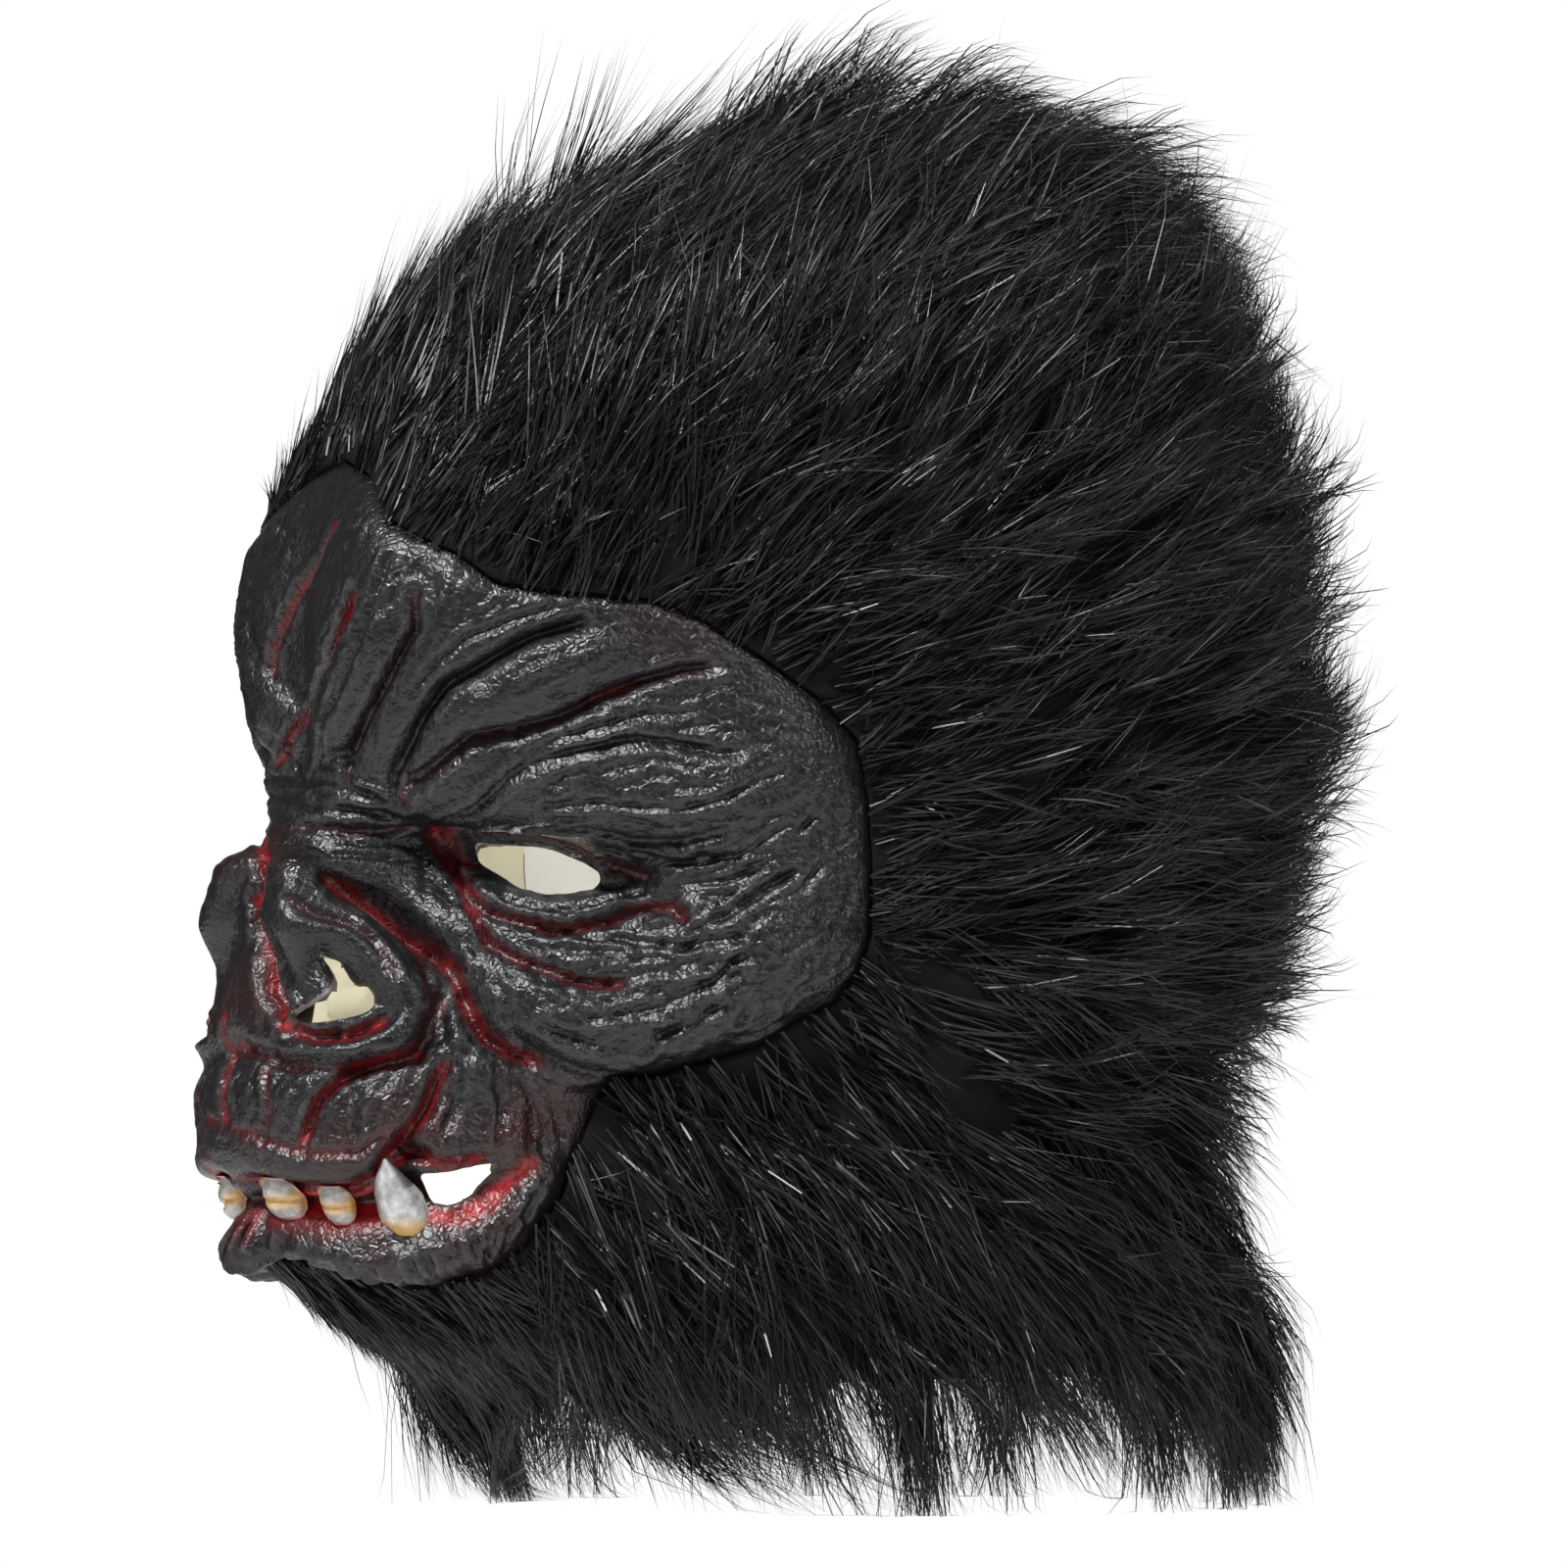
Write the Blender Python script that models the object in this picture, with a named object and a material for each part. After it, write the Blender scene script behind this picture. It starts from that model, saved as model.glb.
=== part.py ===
"""Gorilla mask: a moulded latex face set in a deep-pile fur hood that covers the head and neck.

Blender units are metres, +Z up. The face looks along -Y and +X is the wearer's left. The origin is the inside
of the top of the hood, where it rests on the head. Lengths in the tables are millimetres, turns are degrees
about the head's spine with 0 at the front and + toward the wearer's left.
"""
import math
import bpy
import numpy as np

# ---------------------------------------------------------------- driving sizes, millimetres
LATEX_WALL = 2.2
FIT_GAP = 0.3
VIEW_TURN = math.radians(60.0)   # the side view in which outlines are drawn: from the wearer's left front
HEAD_MID = -20.0                 # y of the head's middle, where that view's "across" is zero

# ---------------------------------------------------------------- the head's skin, one row for each level
# level: height; spine: y of the point the section is turned about; half: half width at y = HEAD_MID; front, back: y at x = 0
HEAD_ROWS = [
    # level  spine  half  front   back
    (0.0,    -8.0,   1.0,   -9.0,  -7.0),
    (-2.5,   -9.0,  20.0,  -29.0,  16.0),
    (-6.0,  -11.0,  32.0,  -45.0,  30.0),
    (-12.0, -14.0,  45.0,  -65.0,  43.0),
    (-22.0, -20.0,  58.0,  -90.0,  54.0),
    (-34.0, -28.0,  67.0, -114.0,  62.0),
    (-49.0, -38.0,  75.0, -133.0,  69.0),
    (-64.0, -45.0,  81.0, -145.0,  75.0),
    (-80.0, -45.0,  85.0, -151.0,  78.0),
    (-99.0, -45.0,  88.0, -156.0,  81.0),
    (-124.0, -45.0, 90.0, -157.0,  83.0),
    (-149.0, -45.0, 90.0, -160.0,  82.0),
    (-169.0, -45.0, 89.0, -166.0,  77.0),
    (-194.0, -45.0, 87.0, -172.0,  70.0),
    (-219.0, -45.0, 86.0, -180.0,  64.0),
    (-239.0, -45.0, 85.0, -176.0,  62.0),
    (-254.0, -45.0, 85.0, -168.0,  65.0),
    (-262.0, -45.0, 85.0, -158.0,  68.0),
    (-268.0, -45.0, 85.0, -144.0,  69.0),
    (-274.0, -45.0, 85.0, -124.0,  69.0),
    (-280.0, -45.0, 85.0, -104.0,  69.0),
    (-285.0, -45.0, 85.0,  -92.0,  69.0),
]

# Face sections, one row for each level: y at the middle, then (x, y) of five stations toward the temple
FACE_ROWS = [
    # level  middle   nose side     inner cheek   cheek          temple        side
    (-64.0,  -145.0, (25, -138), (44, -125), (61, -104), (74, -72), (80, -42)),
    (-74.0,  -150.0, (21, -148), (40, -136), (57, -116), (73, -85), (83, -54)),
    (-89.0,  -154.0, (20, -158), (40, -147), (58, -125), (75, -92), (87, -58)),
    (-109.0, -157.0, (20, -162), (40, -150), (58, -128), (76, -93), (88, -58)),
    (-127.0, -157.0, (18, -161), (38, -149), (57, -126), (76, -92), (89, -57)),
    (-141.0, -156.0, (14, -156), (32, -144), (52, -123), (74, -92), (89, -57)),
    (-152.0, -163.0, (12, -161), (26, -137), (46, -118), (70, -94), (89, -57)),
    (-158.0, -165.0, (12, -162), (24, -134), (43, -117), (67, -97), (89, -57)),
    (-165.0, -167.0, (14, -175), (25, -143), (43, -117), (66, -97), (89, -57)),
    (-177.0, -169.0, (15, -174), (29, -147), (48, -121), (68, -100), (87, -58)),
    (-194.0, -172.0, (26, -167), (38, -144), (54, -122), (70, -98), (84, -60)),
    (-207.0, -175.0, (28, -168), (42, -146), (56, -120), (68, -98), (80, -62)),
    (-219.0, -180.0, (24, -174), (42, -152), (50, -124), (55, -106), (72, -68)),
    (-232.0, -178.5, (24, -171.5), (42, -153), (50, -126), (55, -108), (72, -70)),
    (-244.0, -176.0, (24, -169), (41, -151), (49, -126), (55, -110), (72, -72)),
    (-257.0, -165.0, (22, -159.5), (39, -146), (47, -126), (54, -110), (72, -72)),
    (-264.0, -152.0, (20, -147), (36, -140), (46, -121), (55, -104), (72, -72)),
    (-270.0, -140.0, (20, -136), (34, -126), (46, -112), (58, -95), (74, -68)),
    (-276.0, -118.0, (20, -115), (34, -108), (48, -98), (62, -83), (77, -60)),
    (-285.0,  -92.0, (20, -90), (36, -85), (52, -76), (68, -62), (80, -45)),
]


def slopes(x, y):
    """Slopes of a smooth line through the rows of y that adds no bump of its own."""
    x = np.asarray(x, float)
    y = np.asarray(y, float)
    h = np.diff(x)
    h = h.reshape((-1,) + (1,) * (y.ndim - 1))
    d = np.diff(y, axis=0) / h
    m = np.zeros_like(y)
    a, b = d[:-1], d[1:]
    w1, w2 = 2 * h[1:] + h[:-1], h[1:] + 2 * h[:-1]
    same = a * b > 0
    safe_a, safe_b = np.where(same, a, 1.0), np.where(same, b, 1.0)
    m[1:-1] = np.where(same, (w1 + w2) / (w1 / safe_a + w2 / safe_b), 0.0)
    m[0], m[-1] = d[0], d[-1]
    return m


def smooth(x, y, at):
    """Smooth line through (x, y) read at the places "at"; y may hold several columns."""
    x = np.asarray(x, float)
    y = np.asarray(y, float)
    m = slopes(x, y)
    at = np.clip(np.asarray(at, float), x[0], x[-1])
    k = np.clip(np.searchsorted(x, at, side="right") - 1, 0, len(x) - 2)
    h = x[k + 1] - x[k]
    t = (at - x[k]) / h
    if y.ndim > 1:
        t, h = t[:, None], h[:, None]
    return ((1 + 2 * t) * (1 - t) ** 2 * y[k] + t * (1 - t) ** 2 * h * m[k]
            + t * t * (3 - 2 * t) * y[k + 1] - t * t * (1 - t) * h * m[k + 1])


RING = np.linspace(0.0, 180.0, 181)     # turns about the spine at which a section is read


def head_section(level):
    """Radius about the spine at each turn in RING, from front (0) to back (180)."""
    rows = np.array(HEAD_ROWS[::-1])
    spine, half, front, back = smooth(rows[:, 0], rows[:, 1:], [level])[0]
    turn, reach = [], []
    if level <= -60.0:
        names = FACE_ROWS[::-1]
        cols = np.array([[r[1]] + [c for p in r[2:] for c in p] for r in names], float)
        mid, *rest = smooth([r[0] for r in names], cols, [max(min(level, -64.0), -285.0)])[0]
        pts = [(0.0, mid)] + list(zip(rest[0::2], rest[1::2]))
        wide = HEAD_MID - 6.0
    else:
        wide = HEAD_MID if level < -30 else spine
        fl = wide - front
        pts = [(half * math.sin(a), wide - fl * math.cos(a)) for a in np.radians([0, 18, 36, 52, 66, 78])]
    pts.append((half, wide))
    bl = back - wide
    pts += [(half * math.sin(a) ** 0.92, wide + bl * math.cos(a)) for a in np.radians([72, 54, 36, 18, 0.001])]
    pts = np.array(pts)
    turn = np.degrees(np.arctan2(pts[:, 0], -(pts[:, 1] - spine)))
    reach = np.hypot(pts[:, 0], pts[:, 1] - spine)
    turn[0], turn[-1] = 0.0, 180.0
    full_t = np.concatenate([-turn[1:4][::-1], turn, 360 - turn[-4:-1][::-1]])
    full_r = np.concatenate([reach[1:4][::-1], reach, reach[-4:-1][::-1]])
    return spine, smooth(full_t, full_r, RING)


LEVELS = -np.concatenate([[0, 1.2], np.arange(2.5, 12, 1.5), np.arange(13.0, 285.1, 2.0)])
_made = [head_section(v) for v in LEVELS]
SPINE = np.array([s for s, _ in _made])
REACH = np.array([r for _, r in _made])
for _ in range(5):          # rounds the sections a little
    REACH[:, 1:-1] += 0.5 * (0.5 * (REACH[:, :-2] + REACH[:, 2:]) - REACH[:, 1:-1])
for _ in range(24):         # eases the change from round sections to face sections
    _w = np.clip(1 - np.abs(LEVELS[1:-1] + 63) / 26, 0, 1)[:, None]
    REACH[1:-1] += 0.5 * _w * (0.5 * (REACH[:-2] + REACH[2:]) - REACH[1:-1])


def head_skin(turn, level):
    """Points of the head's skin at turns (degrees, + to the wearer's left) and levels (mm)."""
    turn, level = np.broadcast_arrays(np.asarray(turn, float), np.asarray(level, float))
    shape = turn.shape
    t, v = turn.ravel(), level.ravel()
    side = np.where(t < 0, -1.0, 1.0)
    a = np.clip(np.abs(t), 0, 180)
    i = np.clip(np.searchsorted(-LEVELS, -v, side="right") - 1, 0, len(LEVELS) - 2)
    f = (v - LEVELS[i]) / (LEVELS[i + 1] - LEVELS[i])
    j = np.clip(a.astype(int), 0, 179)
    g = a - j
    r = ((1 - f) * ((1 - g) * REACH[i, j] + g * REACH[i, j + 1])
         + f * ((1 - g) * REACH[i + 1, j] + g * REACH[i + 1, j + 1]))
    s = (1 - f) * SPINE[i] + f * SPINE[i + 1]
    ar = np.radians(a)
    return np.stack([side * r * np.sin(ar), s - r * np.cos(ar), v], axis=-1).reshape(shape + (3,))


def out_way(turn, level, dt=1.0, dv=1.5):
    """Outward unit normal of the head's skin."""
    up = np.minimum(np.asarray(level, float) + dv, -0.05)
    lo = np.maximum(np.asarray(level, float) - dv, -285.0)
    a = head_skin(turn + dt, level) - head_skin(turn - dt, level)
    b = head_skin(turn, up) - head_skin(turn, lo)
    n = np.cross(a, b)
    ln = np.linalg.norm(n, axis=-1, keepdims=True)
    return n / np.maximum(ln, 1e-9)


def in_view(p):
    """Across and level of points as drawn in the side view, and how near they are to the eye."""
    across = p[..., 0] * math.cos(VIEW_TURN) + (p[..., 1] - HEAD_MID) * math.sin(VIEW_TURN)
    near = p[..., 0] * math.sin(VIEW_TURN) - (p[..., 1] - HEAD_MID) * math.cos(VIEW_TURN)
    return across, p[..., 2], near


def on_skin(across, level):
    """Turn at which the view's point (across, level) lies on the near side of the skin."""
    a = np.arange(-20.0, 150.0, 0.5)
    p = head_skin(a, np.full_like(a, level))
    u, _, near = in_view(p)
    s = u - across
    best, best_near = None, -1e9
    for k in np.nonzero(s[:-1] * s[1:] <= 0)[0]:
        f = s[k] / (s[k] - s[k + 1]) if s[k] != s[k + 1] else 0.0
        if near[k] > best_near:
            best, best_near = a[k] + 0.5 * f, near[k]
    if best is None:
        best = a[np.argmin(np.abs(s))]
    return float(best)


# ---------------------------------------------------------------- outlines, in turn (degrees) and level (mm)
LATEX_EDGE = [      # visible edge of the face, from the top of the forehead down the wearer's left to the chin
    (0, -68), (8, -72), (15, -82), (25, -90), (30, -97), (38, -99), (50, -101), (57, -105), (67, -115), (76, -125),
    (82, -135), (83.5, -149), (84, -164), (84.5, -180), (83, -189), (79, -197), (72, -202), (67, -207), (58, -211), (50, -214),
    (43, -215), (40, -220), (38, -230), (36, -241), (31, -254), (27, -260), (19, -265), (12, -263), (7, -259), (0, -257),
]
# Seam between the crown's fur and the beard's fur, from the face's edge to the back
SEAM = [(84.5, -180), (88, -195), (94, -204), (110, -212), (140, -225), (180, -239)]
HEM = -285                  # level of the hood's bottom edge
TUCK = 7.0                  # how far the latex runs on under the fur
TUCK_SINK = 2.2             # and how far it sinks there
EDGE_EASE = 7.0             # width along the edge over which the face's relief fades out

# Openings, corners as (across, level) in the side view
EYE = [(-81, -158), (-73, -159), (-62, -160), (-56, -163), (-50, -166), (-55, -169), (-64, -170), (-70, -168),
       (-76, -164), (-79, -160.5)]
NOSTRIL = [(-116, -184), (-110.5, -185.5), (-109, -188), (-106.5, -191.5), (-103.5, -192), (-101.5, -197), (-107, -199.5),
           (-113.5, -201), (-118.5, -201.5), (-121, -199.5), (-116.5, -195.5), (-113, -193), (-112.5, -189)]
MOUTH_CORNER = [(-92, -236.5), (-86.5, -236.5), (-81, -235.5), (-75, -233.7), (-72.5, -234), (-75.5, -239), (-79, -242.5),
                (-83.5, -244.5), (-88, -245), (-90, -241)]

# Relief of the face: half width and rise (+ out, - in), then the line it follows as (across, level) in the side view
RELIEF = [
    ("brow", 15, 4.5, [(-86, -148), (-70, -149), (-45, -150), (-20, -147), (-4, -142)]),
    ("inner_brow", 9, 1.2, [(-115, -134), (-104, -141), (-92, -147)]),
    ("eye_socket", 11, -5.0, [(-86, -161), (-74, -164), (-60, -167), (-45, -167)]),
    ("cheek_pad", 19, 4.0, [(-66, -192), (-45, -196), (-22, -192), (-6, -180)]),
    ("nostril_rim", 5.5, 4.0, [(-124, -176), (-116, -179.5), (-107, -182), (-99, -189), (-94, -198), (-99, -206),
                               (-111, -208), (-121, -206)]),
    ("nose_middle", 5, 2.5, [(-131, -170), (-130, -183), (-129, -196), (-129, -204)]),
    ("under_nose", 4, -2.5, [(-135, -207), (-122, -211), (-108, -212), (-95, -209), (-90, -202)]),
    ("nose_to_mouth", 4, -4.0, [(-113, -167), (-107, -170), (-100, -175), (-94, -180), (-85, -186), (-82, -194), (-79, -200),
                                (-76, -204), (-66, -210)]),
    ("upper_lip", 6, 1.8, [(-141, -229), (-130, -232), (-119, -235), (-106, -234), (-98, -227), (-88, -230), (-72, -230)]),
    ("gum", 5.5, -5.0, [(-142, -241), (-128, -244), (-113, -245.5), (-100, -244), (-88, -241), (-78, -238)]),
    ("lower_lip", 6, 3.5, [(-137, -250), (-125, -253), (-112, -255.5), (-97, -258), (-83, -255.5), (-71, -246), (-62, -238)]),
    ("forehead_fold_1", 3, -2.2, [(-108, -100), (-110, -106), (-114, -115), (-117, -123), (-121, -132), (-124, -139)]),
    ("forehead_fold_2", 3, -2.2, [(-93, -108), (-97, -115), (-101, -123), (-105, -131), (-108, -138)]),
    ("forehead_fold_3", 3, -2.2, [(-54, -107), (-65, -110), (-79, -119), (-86, -122), (-91, -129), (-97, -142)]),
    ("brow_fold", 3, -2.5, [(-41, -121), (-51, -125), (-60, -130), (-69, -133), (-81, -134), (-92, -142)]),
    ("under_eye_fold", 3, -2.5, [(-77, -174), (-70, -176), (-59, -179), (-48, -176), (-38, -173), (-31, -175)]),
    ("cheek_fold", 3, -2.2, [(-77, -183), (-70, -186), (-62, -189), (-53, -192), (-45, -192)]),
    ("lip_fold_1", 2.5, -2.0, [(-119, -228), (-116, -220), (-112, -215), (-104, -210)]),
    ("lip_fold_2", 2.5, -2.0, [(-86, -212), (-90, -220), (-96, -229)]),
]

# Fur depth for each level: at the front, the side and the back
FUR_DEPTH = [
    (0, 37, 37, 37), (-3, 27, 31, 33), (-12, 15, 24, 27), (-34, 12, 22, 25), (-64, 10, 22, 29), (-99, 9, 23, 31),
    (-149, 9, 26, 30), (-194, 10, 26, 27), (-225, 13, 21, 23), (-240, 14, 18, 22), (-255, 13, 22, 25), (-270, 13, 23, 26),
    (-285, 13, 23, 26),
]
FUR_LIFT = 1.0              # extra room for the face's rim where the fur laps it
FUR_EDGE = 5.0              # fur depth right beside the face
FUR_RISE = 28.0             # distance from the face over which it comes up to its full depth

TOOTH_SEAT = 1.7            # clear room behind a tooth
# Teeth: middle (across, level) in the side view, half width, half height, how far they stand out
TEETH = [
    ("tooth_inner", -127.0, -243.0, 6.5, 5.2, 3.0),
    ("tooth_outer", -113.2, -244.6, 4.4, 4.8, 3.0),
    ("fang", -97.0, -243.0, 6.2, 10.4, 6.0),
]

CROWN_FRONT, BEARD_FRONT, SEAM_STEPS = 16, 21, 13     # stations along each fur's edge
MM_PER_DEGREE = 1.85        # along the face


def turns_of(points):
    """(across, level) corners as (turn, level)."""
    return np.array([(on_skin(a, v), v) for a, v in points])


def flat(tv):
    """Turn and level as a flat sheet in millimetres."""
    tv = np.asarray(tv, float)
    return np.stack([tv[..., 0] * MM_PER_DEGREE, tv[..., 1]], axis=-1)


def to_line(p, line, closed=False):
    """Distance from each point p to a line of corners, and the nearest place on it. Any dimension."""
    line = np.asarray(line, float)
    if closed:
        line = np.vstack([line, line[:1]])
    p = np.asarray(p, float)
    a, b = line[:-1], line[1:]
    ab = b - a
    best = np.full(p.shape[0], 1e18)
    near = np.zeros_like(p)
    for k in range(len(a)):
        t = np.clip(((p - a[k]) @ ab[k]) / max(ab[k] @ ab[k], 1e-12), 0, 1)
        q = a[k] + t[:, None] * ab[k]
        d = np.sum((p - q) ** 2, axis=1)
        hit = d < best
        best[hit] = d[hit]
        near[hit] = q[hit]
    return np.sqrt(best), near


def inside(p, poly):
    """Whether each 2-D point lies inside a closed outline."""
    poly = np.asarray(poly, float)
    res = np.zeros(len(p), bool)
    j = len(poly) - 1
    for i in range(len(poly)):
        xi, yi = poly[i]
        xj, yj = poly[j]
        cross = ((yi > p[:, 1]) != (yj > p[:, 1])) & (p[:, 0] < (xj - xi) * (p[:, 1] - yi) / (yj - yi + 1e-12) + xi)
        res ^= cross
        j = i
    return res


def finer(line, step):
    """The same line with corners no more than step apart."""
    line = np.asarray(line, float)
    out = [line[0]]
    for a, b in zip(line[:-1], line[1:]):
        n = max(1, int(math.ceil(np.linalg.norm(b - a) / step)))
        out += [a + (b - a) * (i + 1) / n for i in range(n)]
    return np.array(out)


EDGE_LEFT = np.array(LATEX_EDGE, float)
EDGE_FULL = np.vstack([EDGE_LEFT, (EDGE_LEFT * [-1, 1])[::-1][1:-1]])
EDGE_FLAT = flat(EDGE_FULL)


def edge_distance(turn, level):
    """Distance to the visible edge of the face, positive inside it."""
    p = flat(np.stack([np.ravel(turn), np.ravel(level)], axis=-1))
    d, _ = to_line(p, EDGE_FLAT, closed=True)
    s = np.where(inside(p, EDGE_FLAT), 1.0, -1.0)
    return (d * s).reshape(np.shape(turn))


def ease(x):
    x = np.clip(x, 0.0, 1.0)
    return x * x * (3 - 2 * x)


def line_on_skin(points, step=4.0):
    tv = turns_of(points)
    return finer(head_skin(tv[:, 0], tv[:, 1]), step)


RELIEF_LINES = [(name, half, rise, line_on_skin(points)) for name, half, rise, points in RELIEF]


def face_rise(turn, level):
    """How far the face stands out of the head's skin."""
    shape = np.shape(turn)
    p = head_skin(turn, level).reshape(-1, 3).copy()
    p[:, 0] = np.abs(p[:, 0])
    rise = np.zeros(len(p))
    for name, half, height, line in RELIEF_LINES:
        d, _ = to_line(p, line)
        rise += height * np.exp(-(d / half) ** 2)
    e = edge_distance(turn, level).reshape(-1)
    return (rise * ease(e / EDGE_EASE) - TUCK_SINK * ease((3.5 - e) / 5.5)).reshape(shape)


def face_point(turn, level, lift=0.0):
    n = out_way(turn, level)
    r = face_rise(turn, level) + lift
    return head_skin(turn, level) + n * r[..., None]


# ---------------------------------------------------------------- meshes
def add_object(name, verts, faces, material):
    mesh = bpy.data.meshes.new(name)
    mesh.from_pydata([tuple(0.001 * c for c in v) for v in np.asarray(verts, float).tolist()], [], faces)
    mesh.validate()
    mesh.update()
    obj = bpy.data.objects.new(name, mesh)
    bpy.context.scene.collection.objects.link(obj)
    mesh.materials.append(material)
    for poly in mesh.polygons:
        poly.use_smooth = True
    return obj


def make_material(name, color, roughness):
    mat = bpy.data.materials.new(name)
    mat.use_nodes = True
    bsdf = mat.node_tree.nodes["Principled BSDF"]
    bsdf.inputs["Base Color"].default_value = (*color, 1.0)
    bsdf.inputs["Roughness"].default_value = roughness
    bsdf.inputs["Metallic"].default_value = 0.0
    return mat


def two_sided(outer, inner, quads):
    """Closed wall between an outer and an inner sheet that share their facets; open edges get a side wall."""
    n = len(outer)
    facets = []
    for q in quads:
        if len(q) == 3:
            facets.append(q)
            continue
        a, b, c, d = q
        if np.linalg.norm(outer[a] - outer[c]) <= np.linalg.norm(outer[b] - outer[d]):
            facets += [[a, b, c], [a, c, d]]
        else:
            facets += [[a, b, d], [b, c, d]]
    quads = facets
    faces = [tuple(q) for q in quads] + [tuple(i + n for i in reversed(q)) for q in quads]
    seen = {}
    for q in quads:
        for a, b in zip(q, q[1:] + q[:1]):
            seen[(a, b)] = True
    for (a, b) in seen:
        if (b, a) not in seen:
            faces.append((b, a, a + n, b + n))
    used = sorted({i for f in faces for i in f})
    new = {old: k for k, old in enumerate(used)}
    pts = np.vstack([outer, inner])[used]
    return pts, [tuple(new[i] for i in f) for f in faces]


def face_grid():
    turns = np.concatenate([np.arange(0, 24.1, 2.4), [27, 30, 33.5, 37, 41], np.arange(46.5, 93.0, 5.8)])
    turns = np.concatenate([-turns[::-1][:-1], turns])
    levels = np.concatenate([np.arange(-60, -150, -9.0), np.arange(-151, -205, -4.5), np.arange(-208, -228, -8),
                             np.arange(-230.5, -262, -4.3), [-266.5, -274]])
    t, v = np.meshgrid(turns, levels)
    rows, cols = t.shape
    mid = np.stack([(t[:-1, :-1] + t[1:, 1:]) / 2, (v[:-1, :-1] + v[1:, 1:]) / 2], axis=-1).reshape(-1, 2)
    d = edge_distance(mid[:, 0], mid[:, 1])
    keep = d > -TUCK
    holes = []
    for corners in (EYE, NOSTRIL, MOUTH_CORNER):
        tv = turns_of(corners)
        holes += [flat(tv), flat(tv * [-1, 1])]
    fm = flat(mid)
    for h in holes:
        keep &= ~inside(fm, h)
    keep = keep.reshape(rows - 1, cols - 1)
    changed = True
    while changed:
        changed = False
        for i in range(1, rows - 1):
            for j in range(1, cols - 1):
                a, b, c, e = keep[i - 1, j - 1], keep[i - 1, j], keep[i, j - 1], keep[i, j]
                if (a and e and not b and not c) or (b and c and not a and not e):
                    keep[i, j] = keep[i - 1, j] = keep[i - 1, j - 1] = keep[i, j - 1] = True
                    changed = True
    near = np.zeros((rows, cols), int)
    for di in (0, 1):
        for dj in (0, 1):
            near[di:rows - 1 + di, dj:cols - 1 + dj] += keep
    flat_p = flat(np.stack([t, v], axis=-1)).reshape(-1, 2)
    rim = ((near > 0) & (near < 4)).reshape(-1)
    inner_edge = near.reshape(-1) > 0
    p = flat_p[rim]
    best = np.full(len(p), 1e9)
    best_q = p.copy()
    for h in holes:
        dd, q = to_line(p, h, closed=True)
        hit = dd < best
        best[hit], best_q[hit] = dd[hit], q[hit]
    ed, eq = to_line(p, EDGE_FLAT, closed=True)
    sign = np.where(inside(p, EDGE_FLAT), 1.0, -1.0)
    use_edge = (ed * sign < -1.0) & (best > TUCK * 0.9)
    away = (p - eq) / np.maximum(ed, 1e-6)[:, None]
    target = np.where(use_edge[:, None], eq + away * TUCK, best_q)
    limit = np.where(use_edge, 4.0, 6.0)
    move = target - p
    ln = np.linalg.norm(move, axis=1)
    move *= np.minimum(1.0, limit / np.maximum(ln, 1e-9))[:, None]
    mid_col = np.abs(p[:, 0]) < 0.01
    move[mid_col, 0] = 0.0
    flat_p[rim] = p + move
    t2 = flat_p[:, 0] / MM_PER_DEGREE
    v2 = flat_p[:, 1]
    quads = []
    for i in range(rows - 1):
        for j in range(cols - 1):
            if keep[i, j]:
                a = i * cols + j
                quads.append([a + cols, a + cols + 1, a + 1, a])
    return t2, v2, quads


def tidy(outer, quads, rounds=1):
    """Vertex normals of a sheet of quads."""
    n = np.zeros_like(outer)
    for q in quads:
        a, b, c, d = (outer[k] for k in q)
        m = np.cross(c - a, d - b)
        for k in q:
            n[k] += m
    return n / np.maximum(np.linalg.norm(n, axis=1, keepdims=True), 1e-9)


def build_face(material):
    t, v, quads = face_grid()
    outer = face_point(t, v)
    n = tidy(outer, quads)
    base = out_way(t, v)
    n = n * 0.35 + base * 0.65
    n /= np.linalg.norm(n, axis=1, keepdims=True)
    pts, faces = two_sided(outer, outer - n * LATEX_WALL, quads)
    return add_object("latex_face", pts, faces, material)


def fur_depth(turn, level):
    rows = np.array(FUR_DEPTH[::-1], float)
    col = smooth(rows[:, 0], rows[:, 1:], np.ravel(level))
    a = np.radians(np.clip(np.abs(np.ravel(turn)), 0, 180))
    f, b = np.clip(np.cos(a), 0, 1) ** 2, np.clip(-np.cos(a), 0, 1) ** 2
    full = col[:, 0] * f + col[:, 2] * b + col[:, 1] * (1 - f - b)
    d = np.maximum(-edge_distance(turn, level).ravel(), 0.0)
    w = ease(d / FUR_RISE) * 0.6 + 0.4 * np.clip(d / FUR_RISE, 0, 1)
    return (FUR_EDGE + (np.maximum(full, FUR_EDGE) - FUR_EDGE) * w).reshape(np.shape(turn))


def fur_point(turn, level, share=1.0):
    """A point of the fur: share 0 is its backing, 1 its outer form."""
    n = out_way(turn, level, 9.0, 12.0)
    lap = np.clip(1 + edge_distance(turn, level) / (2 * TUCK), 0, 1)
    d = FIT_GAP + FUR_LIFT * lap + share * fur_depth(turn, level)
    return head_skin(turn, level) + n * d[..., None]


def spread(line, count):
    """The line at count even steps."""
    p = flat(line)
    s = np.concatenate([[0], np.cumsum(np.linalg.norm(np.diff(p, axis=0), axis=1))])
    at = np.linspace(0, s[-1], count)
    return np.stack([np.interp(at, s, np.asarray(line)[:, k]) for k in (0, 1)], axis=-1)


def split_edge():
    """The face's edge in two: beside the crown's fur and beside the beard's fur."""
    k = int(np.argmin(np.hypot(*(flat(EDGE_LEFT) - flat(np.array([SEAM[0]]))[0]).T)))
    return EDGE_LEFT[:k + 1], EDGE_LEFT[k:]


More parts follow.
